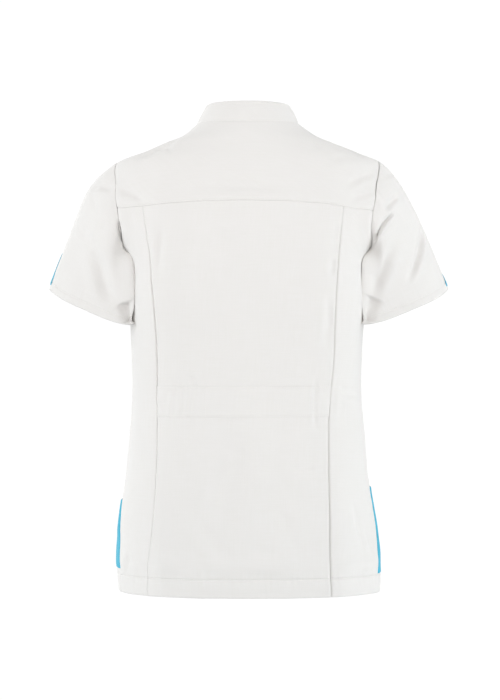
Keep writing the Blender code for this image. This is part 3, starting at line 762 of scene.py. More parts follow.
@dataclass
class BodyForm(Form):
    """The body of the tunic as one surface: body panels, pockets and half belt all lie on it.

    ease is how far the cloth stands out beside each armhole at the back, where a sleeve pulls it sideways,
    and ease_shares how much of that there is by turn.
    """

    creases: tuple[Crease, ...] = BODY_CREASES
    seed: int = 3
    streak_height: float = 1.10 * MM
    dimple_height: float = 0.16 * MM
    ease: float = 5.5 * MM
    ease_width: float = 15 * MM
    ease_shares: Knots = ((30.0, 0.0), (62.0, 0.8), (95.0, 1.0), (138.0, 0.9), (165.0, 0.0))
    gather_height: float = 0.45 * MM
    yoke_at_centre: float = -0.121
    left_yoke_meet: float = -0.115  # up of the yoke seam where it meets each princess seam
    right_yoke_meet: float = -0.118
    arc_samples: int = 400

    def surface(self, places: Array) -> Array:
        """Points on the rings, squared and tilted as their rows say."""
        around, up = np.radians(places[..., 0]), places[..., 1]
        side, back = np.sin(around), np.cos(around)
        power = 2 / RINGS.at("square", up)
        behind = back > 0
        depth = np.where(behind, RINGS.at("back_y", up), RINGS.at("front_y", up))
        end_z = np.where(behind, up, RINGS.at("front_z", up))
        side_z = RINGS.at("side_z", up)
        x = RINGS.at("centre_x", up) + RINGS.at("half_width", up) * np.sign(side) * np.abs(side) ** power
        y = depth * np.sign(back) * np.abs(back) ** power
        return np.stack((x, y, side_z + (end_z - side_z) * back**2), axis=-1)

    def outward(self, places: Array) -> Array:
        """The outward directions at an array of places."""
        along, rising = self.slopes(places, 0.5, 0.5 * MM)
        return unit(np.cross(rising, along))

    def freedom(self, places: Array) -> Array:
        """The cloth is held smooth by the collar and hangs more freely towards the hem."""
        ups = places[..., 1]
        return smoothstep((NECK - ups) / 0.060) * (0.75 + 0.45 * smoothstep((-0.40 - ups) / 0.20))

    def extra(self, points: Array, places: Array) -> Array:
        """The gathers of the half belt, and what the pull of the sleeves does beside the armholes."""
        return self.gathers(points, places) + sum(self.armhole_ease(side, points) for side in (LEFT, RIGHT))

    def armhole_ease(self, side: Side, points: Array) -> Array:
        """How far the cloth stands out beside an armhole at the back.

        Args:
            side: which armhole.
            points: the body's points.

        Returns:
            A height for each point.
        """
        turns = np.linspace(self.ease_shares[0][0], self.ease_shares[-1][0], 70)
        line, share = self.surface(self.armhole(side, turns)), follow(self.ease_shares, turns)
        made = np.zeros(points.shape[:-1])
        reach = 3 * self.ease_width
        close = np.all((points > line.min(axis=0) - reach) & (points < line.max(axis=0) + reach), axis=-1)
        if close.any():
            away = np.linalg.norm(points[close][:, None] - line, axis=-1)
            nearest = away.argmin(axis=1)
            made[close] = self.ease * share[nearest] * bell(away.min(axis=1), self.ease_width)
        return made

    def gathers(self, points: Array, places: Array) -> Array:
        """The small upright gathers that the elastic in the half belt makes at both of its ends.

        Args:
            points: the body's points.
            places: their places.

        Returns:
            A height for each point.
        """
        near = np.exp(-((np.abs(places[..., 1] - (BELT_BOTTOM + BELT_TOP) / 2) / 0.030) ** 4))
        around = places[..., 0]
        left = smoothstep((around - LEFT_TACK) / 3.0) * smoothstep((52.0 - around) / 3.0)
        right = smoothstep((RIGHT_TACK - around) / 3.0) * smoothstep((58.0 + around) / 3.0)
        waves = ripple(points[..., 0] + 0.12 * points[..., 2], 41)
        return self.gather_height * near * (left + 0.7 * right) * waves

    def princess_seam(self, side: Side, ups: Array) -> Array:
        """Places along a princess seam.

        Args:
            side: which seam.
            ups: the heights.

        Returns:
            A place at each height.
        """
        x = side * PRINCESS.at("across", ups) + PRINCESS.at("slip", ups)
        share = (x - RINGS.at("centre_x", ups)) / RINGS.at("half_width", ups)
        power = RINGS.at("square", ups) / 2
        return places_of(np.degrees(np.arcsin(np.sign(share) * np.abs(share) ** power)), ups)

    def side_seam(self, side: Side, ups: Array) -> Array:
        """Places along a side seam."""
        return places_of(side * SIDE_SEAMS[side].at("around", ups), ups)

    def armhole(self, side: Side, turns: Array) -> Array:
        """Places on an armhole's loop.

        Args:
            side: which armhole.
            turns: 0 at the shoulder point, 90 at the back, 180 at the armpit and -90 at the front.

        Returns:
            A place at each turn.
        """
        hole, angle = ARMHOLES[side], np.radians(turns)
        reach = np.where(np.sin(angle) > 0, hole.back_reach, hole.front_reach)
        power = np.where((np.cos(angle) < 0) & (np.sin(angle) > 0), hole.lower_roundness, hole.roundness)
        swing = reach * np.sign(np.sin(angle)) * np.abs(np.sin(angle)) ** power
        up = (ARMPIT + SHOULDER) / 2 + (SHOULDER - ARMPIT) / 2 * np.cos(angle)
        return places_of(side * (90.0 - swing), up)

    def even_turns(self, side: Side, first: float, last: float, count: int) -> Array:
        """Cuts a part of an armhole into stretches of equal length.

        Args:
            side: which armhole.
            first: the turn at which the part starts.
            last: the turn at which it ends.
            count: how many stretches there are.

        Returns:
            The turns at their ends.
        """
        turns = np.linspace(first, last, self.arc_samples)
        length = lengths_along(self.surface(self.armhole(side, turns)), 0)
        return np.interp(np.linspace(0.0, length[-1], count + 1), length, turns)

    def yoke_seam(self, centre: int, sides: int) -> Array:
        """Places along the yoke seam from the right armhole to the left one.

        Args:
            centre: how many steps there are between the princess seams.
            sides: how many there are on either side of them.

        Returns:
            The places.
        """
        turns = [np.array(ARMHOLES[side].yoke_turn) for side in (RIGHT, LEFT)]
        right_end, left_end = self.armhole(RIGHT, turns[0]), self.armhole(LEFT, turns[1])
        right_meet = self.princess_seam(RIGHT, np.array(self.right_yoke_meet))[0]
        left_meet = self.princess_seam(LEFT, np.array(self.left_yoke_meet))[0]
        right_part = np.linspace(right_end[0], right_meet, sides + 1)
        middle_part = np.linspace(right_meet, left_meet, centre + 1)[1:]
        left_part = np.linspace(left_meet, left_end[0], sides + 1)[1:]
        around = np.concatenate((right_part, middle_part, left_part))
        end = np.where(around > 0, left_end[1], right_end[1])
        reach = np.where(around > 0, left_end[0], -right_end[0])
        return places_of(around, self.yoke_at_centre + (end - self.yoke_at_centre) * (around / reach) ** 2)


def line_value(column: str, turns: Array) -> Array:
    """Passes smoothly from each line down a sleeve to the next.

    Args:
        column: which of the lines' numbers is wanted.
        turns: where.

    Returns:
        Its value at each turn.
    """
    top, back, under, front = (getattr(line, column) for line in SLEEVE_LINES)
    across, along = np.sin(np.radians(turns)), np.cos(np.radians(turns))
    return np.where(along > 0, top, under) * along**2 + np.where(across > 0, back, front) * across**2


@dataclass(kw_only=True)
class SleeveForm(Form):
    """A sleeve's surface, from the armhole to its hem.

    tuck_turn and tuck_width say where its inner back corner is, rest how far it stays from the body that it
    rests against, and seam_gap how far its edge stays back from its seam.
    """

    side: Side
    body: BodyForm
    streak_height: float = 0.80 * MM
    dimple_height: float = 0.14 * MM
    tuck_turn: float = 156.0
    tuck_width: float = 16.0
    rest: float = 0.7 * MM
    seam_gap: float = 0.08 * MM

    def __post_init__(self) -> None:
        """Works out the four handles of every line down the sleeve."""
        side, body = self.side, self.body
        turns = np.arange(-200.0, 200.01, 0.25)
        before, after = (body.surface(body.armhole(side, turns + step)) for step in (-0.5, 0.5))
        points, normals = body.cloth(body.armhole(side, turns))
        into = unit(np.cross(after - before, normals)) * side
        ways = np.stack([line_value(name, turns) for name in ("out", "back", "up")], axis=-1) * (side, 1, 1)
        ways = unit(ways)
        straight = np.sum(into * ways, axis=-1, keepdims=True)
        start = points + LAY_ON * (1 - straight) / 2 * normals + self.seam_gap * ways
        hem = SLEEVE_HEMS[side]
        out = HEM_LOOP.at("out", turns)
        level = np.clip(out, -1.0, 1.0)
        lean = line_value("end_out", turns)
        down = np.stack((side * lean, np.zeros_like(lean), -np.sqrt(1 - lean**2)), axis=-1)
        x = (hem.outer_x + hem.inner_x) / 2 + (hem.outer_x - hem.inner_x) / 2 * out
        z = (hem.outer_z + hem.inner_z) / 2 + (hem.outer_z - hem.inner_z) / 2 * level
        end = np.stack((side * x, hem.depth * HEM_LOOP.at("y", turns), z), axis=-1)
        end = end + hem.drop * (1 - level[:, None] ** 4) * down
        fullness = 1 + (hem.fullness - 1) * np.cos(np.radians(turns))[:, None].clip(0.0)
        first = start + fullness * line_value("start_handle", turns)[:, None] * ways
        second = end - fullness * line_value("end_handle", turns)[:, None] * down
        self.turns, self.handles = turns, np.concatenate((start, first, second, end), axis=1)
        super().__post_init__()

    def surface(self, places: Array) -> Array:
        """Points on the lines down the sleeve, tucked in beside the body."""
        columns = [np.interp(places[..., 0], self.turns, handle) for handle in self.handles.T]
        start, first, second, end = (np.stack(columns[k : k + 3], axis=-1) for k in (0, 3, 6, 9))
        t = places[..., 1:]
        points = start * (1 - t) ** 3 + 3 * first * t * (1 - t) ** 2
        points = points + 3 * second * t**2 * (1 - t) + end * t**3
        steps = np.clip(places[..., 1], 0.0, 1.0)
        inward, back = (TUCKS[self.side].at(column, steps) for column in ("inward", "back"))
        shift = np.stack((-self.side * inward, back, np.zeros_like(back)), axis=-1)
        points = points + bell(places[..., 0] - self.tuck_turn, self.tuck_width)[..., None] * shift
        return self.beside_body(points, smoothstep(steps / 0.06))

    def beside_body(self, points: Array, share: Array) -> Array:
        """Moves points that lie in the body, or too close to it, out to where the sleeve rests against it.

        Args:
            points: the sleeve's points.
            share: how much of that move each point makes.

        Returns:
            The points, moved level and square to the body.
        """
        ups = np.interp(points[..., 2], RINGS.columns["side_z"], RINGS.knots)
        power = RINGS.at("square", ups)[..., None]
        depth = np.where(points[..., 1] > 0, RINGS.at("back_y", ups), RINGS.at("front_y", ups))
        level = np.stack((RINGS.at("half_width", ups), depth), axis=-1)
        flat = points[..., :2] - np.stack((RINGS.at("centre_x", ups), np.zeros_like(ups)), axis=-1)
        ratio = np.abs(flat) / level
        radius = np.sum(ratio**power, axis=-1, keepdims=True) ** (1 / power)
        slope = np.sign(flat) * (ratio / radius) ** (power - 1) / level
        steepness = np.linalg.norm(slope, axis=-1, keepdims=True)
        clearance = (radius - 1) / steepness
        # A soft corner at the resting distance: the cloth meets the body without a kink.
        move = self.rest * np.logaddexp(0.0, (self.rest - clearance) / self.rest)
        moved = points.copy()
        moved[..., :2] += (share[..., None] * move) * slope / steepness
        return moved

    def outward(self, places: Array) -> Array:
        """The outward directions at an array of places."""
        along, down = self.slopes(places, 1.0, 0.01)
        return unit(np.cross(down, along)) * self.side


# ---- Grids of cloth
def between(first: Array, last: Array, top: Array, straight_rows: int, ease: float = 1.3) -> Array:
    """A grid of places between two edges, which bends above its straight rows to meet its top edge.

    Args:
        first: places up the grid's first edge.
        last: places up its last edge.
        top: places along its top edge, one for each column.
        straight_rows: how many rows stay straight.
        ease: how slowly it starts to bend.

    Returns:
        The grid, its rows rising.
    """
    shares = np.linspace(0.0, 1.0, len(top))[:, None]
    grid = first[:, None] * (1 - shares) + last[:, None] * shares
    rise = np.clip((np.arange(len(first)) - straight_rows) / (len(first) - 1 - straight_rows), 0.0, 1.0)
    return grid + (rise**ease)[:, None, None] * (top - grid[-1])


def spaced_columns(places: Array, points: Array, start: Array, end: Array, middle: int) -> Array:
    """Moves a grid's columns so that they keep set distances from its two side edges.

    Args:
        places: the grid's places, rows by columns.
        points: the same grid's points.
        start: the wanted distances from the first edge.
        end: the wanted distances from the last edge.
        middle: how many even columns lie between.

    Returns:
        The new grid of places.
    """
    spread = np.linspace(0.0, 1.0, middle + 2)[1:-1]
    made = []
    for row, way in zip(places, lengths_along(points, 1)):
        inner = start[-1] + (way[-1] - start[-1] - end[-1]) * spread
        wanted = np.concatenate((start, inner, way[-1] - end[::-1]))
        made.append(np.stack([np.interp(wanted, way, row[:, axis]) for axis in (0, 1)], axis=-1))
    return np.array(made)


def spaced_rows(places: Array, points: Array, start: Array, end: Array, middle: int) -> Array:
    """The same for its rows, which keep set distances from its bottom and top edges."""
    turned = spaced_columns(places.swapaxes(0, 1), points.swapaxes(0, 1), start, end, middle)
    return turned.swapaxes(0, 1)


@dataclass
class Grid:
    """A piece of cloth as a grid of points, its rows rising and its columns running round it.

    bottom, top, first and last are each point's distances from the four edges. A closed grid's last column
    meets its first one.
    """

    points: Array
    normals: Array
    bottom: Array
    top: Array
    first: Array
    last: Array
    closed: bool = False

    @classmethod
    def of(cls, points: Array, normals: Array, closed: bool = False) -> "Grid":
        """A grid with its distances measured.

        Args:
            points: its points.
            normals: the outward directions there.
            closed: whether its last column meets its first one.

        Returns:
            The grid.
        """
        rising = lengths_along(points, 0)
        ring = np.concatenate((points, points[:, :1]), axis=1) if closed else points
        across = lengths_along(ring, 1)
        width = across[:, -1:]
        across = across[:, : points.shape[1]]
        return cls(points, normals, rising, rising[-1] - rising, across, width - across, closed)

    def fields(self) -> list[Array]:
        """Its arrays in their order."""
        return [self.points, self.normals, self.bottom, self.top, self.first, self.last]

    def off(self, edge: Edge) -> Array:
        """Each point's distance from an edge."""
        return getattr(self, edge.value)

    def lifted(self, height: Array) -> "Grid":
        """The grid moved outwards by a height at each point, its distances as they were."""
        moved = self.points + height[..., None] * self.normals
        return Grid(moved, *self.fields()[1:], closed=self.closed)

    def sewn(self, seams: dict[Edge, SeamEdge], start: Any = 0.0, where: Any = 0.0) -> Array:
        """How far seams along its edges move each point outwards.

        Args:
            seams: the seam at each edge.
            start: the height to which theirs are added.
            where: the place at which each point's share of a roll is read.

        Returns:
            A height for each point.
        """
        for edge, seam in seams.items():
            along = self.bottom if edge in (Edge.FIRST, Edge.LAST) else self.first
            start = start + seam.height(self.off(edge), along, where)
        return start

    def cut(self, rows: Any = slice(None), columns: Any = slice(None)) -> "Grid":
        """Some rows and columns of the grid."""
        closed = self.closed and columns == slice(None)
        return Grid(*(part[rows][:, columns] for part in self.fields()), closed=closed)

    def turned_up(self, hem: Hem) -> "Grid":
        """The grid with a hem: its bottom edge rounds over and a second layer goes back up inside.

        Args:
            hem: the hem.

        Returns:
            The grid with the inside layer's rows before its own.
        """
        rows = int(np.searchsorted(self.bottom[:, self.bottom.shape[1] // 2], hem.depth + 0.6 * MM))
        pinch = 0.55 + 0.45 * smoothstep((hem.depth - self.bottom[:rows]) / (2.5 * MM))
        inner = self.points[:rows] - (TURNED * pinch)[..., None] * self.normals[:rows]
        outer = self.points - (0.5 * TURNED * bell(self.bottom, 0.7 * MM))[..., None] * self.normals
        outer[0] += 0.35 * MM * np.asarray(hem.drop)
        back = slice(rows - 1, 0, -1)
        return Grid(
            np.concatenate((inner[:0:-1], outer)),
            np.concatenate((-self.normals[back], self.normals)),
            np.concatenate((-self.bottom[back], self.bottom)),
            *(np.concatenate((part[back], part)) for part in (self.top, self.first, self.last)),
            closed=self.closed,
        )

    def folded_under(self, edge: Edge, depth: float, gap: float) -> "Grid":
        """The strip of cloth that is folded back under an edge, as a grid of its own.

        Args:
            edge: the edge.
            depth: how deep the strip is.
            gap: from the cloth down to the strip.

        Returns:
            The strip, which faces inwards and meets the rounded edge.
        """
        off = self.off(edge)
        if edge in (Edge.FIRST, Edge.LAST):
            columns = np.flatnonzero(off[len(off) // 2] < depth + 2 * MM)
            strip = self.cut(columns=slice(columns[0], columns[-1] + 1))
        else:
            rows = np.flatnonzero(off[:, off.shape[1] // 2] < depth + 2 * MM)
            strip = self.cut(rows=slice(rows[0], rows[-1] + 1))
        off = strip.off(edge)
        pinch = 0.6 + 0.4 * smoothstep((depth - off) / (2.5 * MM))
        inside = strip.lifted(-gap * (pinch - 0.42 * bell(off, 0.7 * MM)))
        return Grid(inside.points, -inside.normals, *inside.fields()[2:])

    def line(self, edge: Edge, off: float) -> tuple[Array, Array]:
        """A line on the outside of the grid at a set distance from an edge.

        Args:
            edge: the edge.
            off: the line's distance from it.

        Returns:
            The line's points and its outward directions.
        """
        distances, grids = self.off(edge), (self.points, self.normals)
        if edge in (Edge.FIRST, Edge.LAST):
            distances, grids = distances.T, tuple(grid.swapaxes(0, 1) for grid in grids)
        made = []
        for grid in grids:
            line = []
            for column in range(distances.shape[1]):
                order = np.argsort(distances[:, column])
                way = distances[order, column]
                line.append([np.interp(off, way, grid[order, column, axis]) for axis in range(3)])
            made.append(np.array(line))
        return made[0], unit(made[1])


# ---- Nodes and finishes
def add_node(tree: bpy.types.NodeTree, kind: str, settings: Optional[dict] = None, **inputs: Any) -> Any:
    """Adds a node, with its settings and links.

    Args:
        tree: the tree that it goes in.
        kind: the node's type name.
        settings: its own settings.
        inputs: a value or another node's socket for each named input, where `_` stands for a space, and i and
            a number stand for that input's place.

    Returns:
        The node's outputs.
    """
    node = tree.nodes.new(kind)
    for name, value in (settings or {}).items():
        setattr(node, name, value)
    for name, value in inputs.items():
        key: Any = int(name[1:]) if name[0] == "i" and name[1:].isdigit() else name.replace("_", " ")
        socket = node.inputs[key]
        if isinstance(value, bpy.types.NodeSocket):
            tree.links.new(value, socket)
        else:
            socket.default_value = value
    return node.outputs


def linear(code: str) -> tuple[float, float, float, float]:
    """A colour's linear values.

    Args:
        code: the colour as hex sRGB.

    Returns:
        Its red, green, blue and alpha.
    """
    parts = [int(code[i : i + 2], 16) / 255 for i in (1, 3, 5)]
    made = [p / 12.92 if p <= 0.04045 else ((p + 0.055) / 1.055) ** 2.4 for p in parts]
    return made[0], made[1], made[2], 1.0


@dataclass(frozen=True)
class Finish:
    """What every finish has: a name, a colour, a second colour that it is mottled with (on the thread,
    painted shade in the grooves between its plies), and its shader.
    """

    name: str
    colour: str
    shade: str

    def look(self, tree: bpy.types.NodeTree, place: bpy.types.NodeSocket) -> dict[str, Any]:
        """The value or socket of each of its shader's inputs.

        Args:
            tree: the material's tree, to which its pattern's nodes are added.
            place: the Object coordinates.

        Returns:
            The inputs by name.
        """
        raise NotImplementedError

    def build(self) -> bpy.types.Material:
        """Makes the finish.

        Returns:
            The material.
        """
        material = bpy.data.materials.new(self.name)
        material.use_nodes = True
        tree = material.node_tree
        tree.nodes.clear()
        place = add_node(tree, "ShaderNodeTexCoord")["Object"]
        shader = add_node(tree, "ShaderNodeBsdfPrincipled", **self.look(tree, place))
        add_node(tree, "ShaderNodeOutputMaterial", Surface=shader["BSDF"])
        return material


@dataclass(frozen=True)
class TwillFinish(Finish):
    """Woven poly-cotton twill, 65/35, vat dyed and calendered, on the cloth's own UV map in metres.

    To the eye it is matt with a very slight sheen at a grazing look, has fine slanting lines of weave, and
    thick and thin yarns make faint streaks along and across it. Washing leaves it a little uneven in tone.
    """

    worn: str
    roughness: float
    sheen: float

    # The real twill has a line every 0.7 mm. It is drawn every 1.4 mm, so that it shows in a close look.
    line_spacing: float = 1.4 * MM
    line_slant: float = 63.0
    # Slubs: yarns a little thick or thin for a few centimetres, along the warp and across it.
    warp_spacing: float = 1.6 * MM
    weft_spacing: float = 1.8 * MM
    warp_stretch: float = 0.035
    weft_stretch: float = 0.045

    def look(self, tree: bpy.types.NodeTree, place: bpy.types.NodeSocket) -> dict[str, Any]:
        """The twill's lines, its slubs and the unevenness of washing."""
        uv = add_node(tree, "ShaderNodeUVMap", {"uv_map": UV_NAME})["UV"]
        slant = (0.0, 0.0, math.radians(self.line_slant))
        slanted = add_node(tree, "ShaderNodeMapping", Vector=uv, Rotation=slant)["Vector"]
        twill = add_node(
            tree,
            "ShaderNodeTexWave",
            {"wave_type": "BANDS", "bands_direction": "X", "wave_profile": "SIN"},
            Vector=slanted,
            Scale=WAVE_UNIT / self.line_spacing,
            Distortion=1.2,
            Detail=1.0,
            Detail_Scale=0.5,
        )["Fac"]
        slubs = []
        for spacing, stretch in (
            (self.warp_spacing, (1.0, self.warp_stretch, 1.0)),
            (self.weft_spacing, (self.weft_stretch, 1.0, 1.0)),
        ):
            drawn = add_node(tree, "ShaderNodeMapping", Vector=uv, Scale=stretch)["Vector"]
            noise = {"Scale": 1 / spacing, "Detail": 2.0, "Roughness": 0.6}
            slubs.append(add_node(tree, "ShaderNodeTexNoise", Vector=drawn, **noise)["Fac"])
        yarns = add_node(tree, "ShaderNodeMath", {"operation": "ADD"}, i0=slubs[0], i1=slubs[1])[0]
        streak = add_node(tree, "ShaderNodeMapRange", Value=yarns, From_Min=0.75, From_Max=1.25)["Result"]
        washed = {"Scale": 14.0, "Detail": 3.0, "Roughness": 0.55}
        cloud = add_node(tree, "ShaderNodeTexNoise", Vector=place, **washed)["Fac"]
        patchy = {"From_Min": 0.45, "From_Max": 0.75, "To_Max": 0.5}
        patch = add_node(tree, "ShaderNodeMapRange", Value=cloud, **patchy)["Result"]
        tone = {"i6": linear(self.colour), "i7": linear(self.shade)}
        tone = add_node(tree, "ShaderNodeMix", MIXED, i0=streak, **tone)[2]
        tone = add_node(tree, "ShaderNodeMix", MIXED, i0=patch, i6=tone, i7=linear(self.worn))[2]
        low, high = self.roughness - 0.05, self.roughness + 0.05
        uneven = {"From_Min": 0.7, "From_Max": 1.3, "To_Min": low, "To_Max": high}
        rough = add_node(tree, "ShaderNodeMapRange", Value=yarns, **uneven)["Result"]
        summed = {"operation": "MULTIPLY_ADD"}
        weave = add_node(tree, "ShaderNodeMath", summed, i0=yarns, i1=0.35, i2=twill)[0]
        bump = add_node(tree, "ShaderNodeBump", Strength=0.35, Distance=0.12 * MM, Height=weave)["Normal"]
        cloth = {"Sheen_Weight": self.sheen, "Sheen_Roughness": 0.5, "Specular_IOR_Level": 0.25}
        return {"Base_Color": tone, "Roughness": rough, "Normal": bump} | cloth


@dataclass(frozen=True)
class ThreadFinish(Finish):
    """Spun polyester sewing thread, two plies twisted: a stitch has fine slanting lines, painted shade in the
    grooves between its plies, and a soft sheen.
    """

    ply_spacing: float = 0.5 * MM

    def look(self, tree: bpy.types.NodeTree, place: bpy.types.NodeSocket) -> dict[str, Any]:
        """The lines of the twisted plies, as bumps and as painted shade in the grooves between them."""
        bands = {"wave_type": "BANDS", "bands_direction": "DIAGONAL"}
        wave = {"Scale": WAVE_UNIT / self.ply_spacing, "Distortion": 0.5}
        plies_and_groove_shade = add_node(tree, "ShaderNodeTexWave", bands, Vector=place, **wave)["Fac"]
        bump = add_node(tree, "ShaderNodeBump", Strength=0.4, Distance=0.05 * MM, Height=plies_and_groove_shade)["Normal"]
        # The darker second colour lies in the low grooves between the plies: painted shade.
        tone = {"i6": linear(self.shade), "i7": linear(self.colour)}
        tone = add_node(tree, "ShaderNodeMix", MIXED, i0=plies_and_groove_shade, **tone)[2]
        thread = {"Roughness": 0.55, "Sheen_Weight": 0.15, "Specular_IOR_Level": 0.4}
        return {"Base_Color": tone, "Normal": bump} | thread


@dataclass(frozen=True)
class ResinFinish(Finish):
    """Moulded acetal, as a press stud's cap: glossy under fine scuffs from washing and pressing."""

    scuff_size: float = 0.8 * MM

    def look(self, tree: bpy.types.NodeTree, place: bpy.types.NodeSocket) -> dict[str, Any]:
        """The scuffs under the gloss."""
        noise = {"Scale": 1 / self.scuff_size, "Detail": 4.0, "Roughness": 0.65}
        scuff = add_node(tree, "ShaderNodeTexNoise", Vector=place, **noise)["Fac"]
        uneven = {"From_Min": 0.3, "From_Max": 0.7, "To_Min": 0.24, "To_Max": 0.42}
        rough = add_node(tree, "ShaderNodeMapRange", Value=scuff, **uneven)["Result"]
        bump = add_node(tree, "ShaderNodeBump", Strength=0.15, Distance=0.03 * MM, Height=scuff)["Normal"]
        tone = {"i6": linear(self.colour), "i7": linear(self.shade)}
        tone = add_node(tree, "ShaderNodeMix", MIXED, i0=scuff, **tone)[2]
        return {"Base_Color": tone, "Roughness": rough, "Normal": bump, "IOR": 1.48}


@dataclass(frozen=True)
class MattFinish(Finish):
    """Matt paint on a studio floor, with a faint roller mottle."""

    mottle_size: float = 12 * MM

    def look(self, tree: bpy.types.NodeTree, place: bpy.types.NodeSocket) -> dict[str, Any]:
        """The roller's mottle."""
        mottle = {"Scale": 1 / self.mottle_size, "Detail": 2.0}
        mottle = add_node(tree, "ShaderNodeTexNoise", Vector=place, **mottle)["Fac"]
        tone = {"i6": linear(self.colour), "i7": linear(self.shade)}
        tone = add_node(tree, "ShaderNodeMix", MIXED, i0=mottle, **tone)[2]
        return {"Base_Color": tone, "Roughness": 0.9, "Specular_IOR_Level": 0.0}


class Palette:
    """Every finish, built once."""

    def __init__(self) -> None:
        """Builds the materials."""
        self.cloth = {
            Slot.WHITE: TwillFinish(
                "white_poly_cotton_twill", "#DDDCDA", "#DBDAD7", worn="#DBDAD8", roughness=0.86, sheen=0.08
            ).build(),
            Slot.BLUE: TwillFinish(
                "sky_blue_poly_cotton_twill", "#49B0CB", "#41A6C1", worn="#53B5CE", roughness=0.84, sheen=0.06
            ).build(),
        }
        self.thread = {
            # Each thread's second, darker colour is painted shade for the grooves between its plies.
            Slot.WHITE: ThreadFinish("white_sewing_thread", "#EBEAE7", "#DAD8D4").build(),
            Slot.BLUE: ThreadFinish("sky_blue_sewing_thread", "#4DB9DE", "#38A3CB").build(),
        }
        self.resin = ResinFinish("white_acetal_cap", "#E9E8E4", "#DDDCD7").build()
        self.floor = MattFinish("pale_matt_floor", "#FCFCFC", "#F9F9F9").build()


# ---- From grids to pieces
def link(name: str, mesh: bpy.types.Mesh) -> bpy.types.Object:
    """Puts a mesh in the scene.

    Args:
        name: the object's name.
        mesh: the mesh.

    Returns:
        The object.
    """
    obj = bpy.data.objects.new(name, mesh)
    bpy.context.scene.collection.objects.link(obj)
    return obj


def grid_faces(grid: Grid, start: int) -> tuple[Array, Array]:
    """A grid's faces, facing outwards.

    Args:
        grid: the grid.
        start: the number of its first point in the mesh.

    Returns:
        The faces' corners, and their places in the weave's UV map.
    """
    rows, columns = grid.points.shape[:2]
    r, c = np.meshgrid(np.arange(rows - 1), np.arange(columns if grid.closed else columns - 1), indexing="ij")
    after = (c + 1) % columns
    row, above = r * columns, (r + 1) * columns
    corners = np.stack((row + c, above + c, above + after, row + after), -1)
    u = np.concatenate((grid.first, grid.first[:, -1:] + grid.last[:, -1:]), axis=1)
    v = np.concatenate((grid.bottom, grid.bottom[:, :1]), axis=1)
    around = ((r, c), (r + 1, c), (r + 1, c + 1), (r, c + 1))
    uv = np.stack([np.stack((u[at], v[at]), axis=-1) for at in around], -2)
    corners, uv = corners.reshape(-1, 4), uv.reshape(-1, 4, 2)
    flat, normals = grid.points.reshape(-1, 3), grid.normals.reshape(-1, 3)
    a, b, d = (flat[corners[:, k]] for k in (0, 1, 3))
    if np.sum(np.cross(b - a, d - a) * normals[corners[:, 0]], axis=1).mean() < 0:
        corners, uv = corners[:, ::-1], uv[:, ::-1]
    return corners + start, uv


def shell(name: str, layers: Sequence[Grid]) -> bpy.types.Object:
    """One mesh of every layer's grid.

    Args:
        name: the object's name.
        layers: the grids.

    Returns:
        The object, smooth shaded, with the weave's UV map in metres.
    """
    points = np.concatenate([grid.points.reshape(-1, 3) for grid in layers])
    counts = [grid.points.shape[0] * grid.points.shape[1] for grid in layers]
    parts = [grid_faces(grid, sum(counts[:k])) for k, grid in enumerate(layers)]
    corners, uv = (np.concatenate(part) for part in zip(*parts))
    mesh = bpy.data.meshes.new(name)
    mesh.vertices.add(len(points))
    mesh.vertices.foreach_set("co", points.astype(np.float32).ravel())
    mesh.loops.add(corners.size)
    mesh.loops.foreach_set("vertex_index", corners.astype(np.int32).ravel())
    mesh.polygons.add(len(corners))
    mesh.polygons.foreach_set("loop_start", np.arange(0, corners.size, 4, dtype=np.int32))
    mesh.update(calc_edges=True)
    mesh.uv_layers.new(name=UV_NAME).data.foreach_set("uv", uv.astype(np.float32).ravel())
    mesh.validate()
    mesh.shade_smooth()
    return link(name, mesh)


@dataclass(frozen=True)
class Cut:
    """How a piece of cloth was cut, in metres and square metres, and how it is held.

    It has an area where its shape isn't the whole rectangle.
    """

    width: float
    length: float
    held: Held
    area: Optional[float] = None


@dataclass
class Piece:
    """A cut piece of cloth, ready to be made: what it replaces, its cut, its layers, what it rests on."""

    node: str
    cut: Cut
    layers: list[Grid]
    rests_on: tuple[str, ...]
    slot: Slot = Slot.WHITE

    def make(self, palette: Palette) -> None:
        """Makes the piece as an object that rides on the frame, with its wall and its finish.

        Args:
            palette: the finishes.
        """
        obj = shell(f"{self.node}_cloth", self.layers)
        obj.data.materials.append(palette.cloth[self.slot])
        wall = obj.modifiers.new("Wall", "SOLIDIFY")
        wall.thickness, wall.offset = THICKNESS, 0.0
        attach(obj, BODY)
        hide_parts(self.node)
        LOG.info("%s: %d points", obj.name, len(obj.data.vertices))


class Given(NamedTuple):
    """A geometry tree's named input: its socket's type and its value."""

    kind: str
    value: Any


def laid_by_nodes(
    name: str, base: bpy.types.Mesh, inputs: dict[str, Given], lay: Callable[..., bpy.types.NodeSocket]
) -> bpy.types.Object:
    """Runs a geometry tree on a mesh and keeps what it makes as a plain mesh.

    Args:
        name: the object's name.
        base: the mesh that the tree reads.
        inputs: the tree's inputs by name.
        lay: adds the tree's own nodes, from the tree and the sockets of its inputs, and returns the last one.

    Returns:
        The object, with no modifier.
    """
    tree = bpy.data.node_groups.new(f"{name}_tree", "GeometryNodeTree")
    for way in ("OUTPUT", "INPUT"):
        tree.interface.new_socket("Geometry", in_out=way, socket_type="NodeSocketGeometry")
    keys = [
        tree.interface.new_socket(title, in_out="INPUT", socket_type=given.kind).identifier
        for title, given in inputs.items()
    ]
    add_node(tree, "NodeGroupOutput", i0=lay(tree, add_node(tree, "NodeGroupInput")))
    maker = link(f"{name}_maker", base)
    modifier = maker.modifiers.new("Laid", "NODES")
    modifier.node_group = tree
    for key, given in zip(keys, inputs.values()):
        modifier[key] = given.value
    graph = bpy.context.evaluated_depsgraph_get()
    mesh = bpy.data.meshes.new_from_object(maker.evaluated_get(graph), depsgraph=graph)
    mesh.name = name
    bpy.data.objects.remove(maker)
    return link(name, mesh)


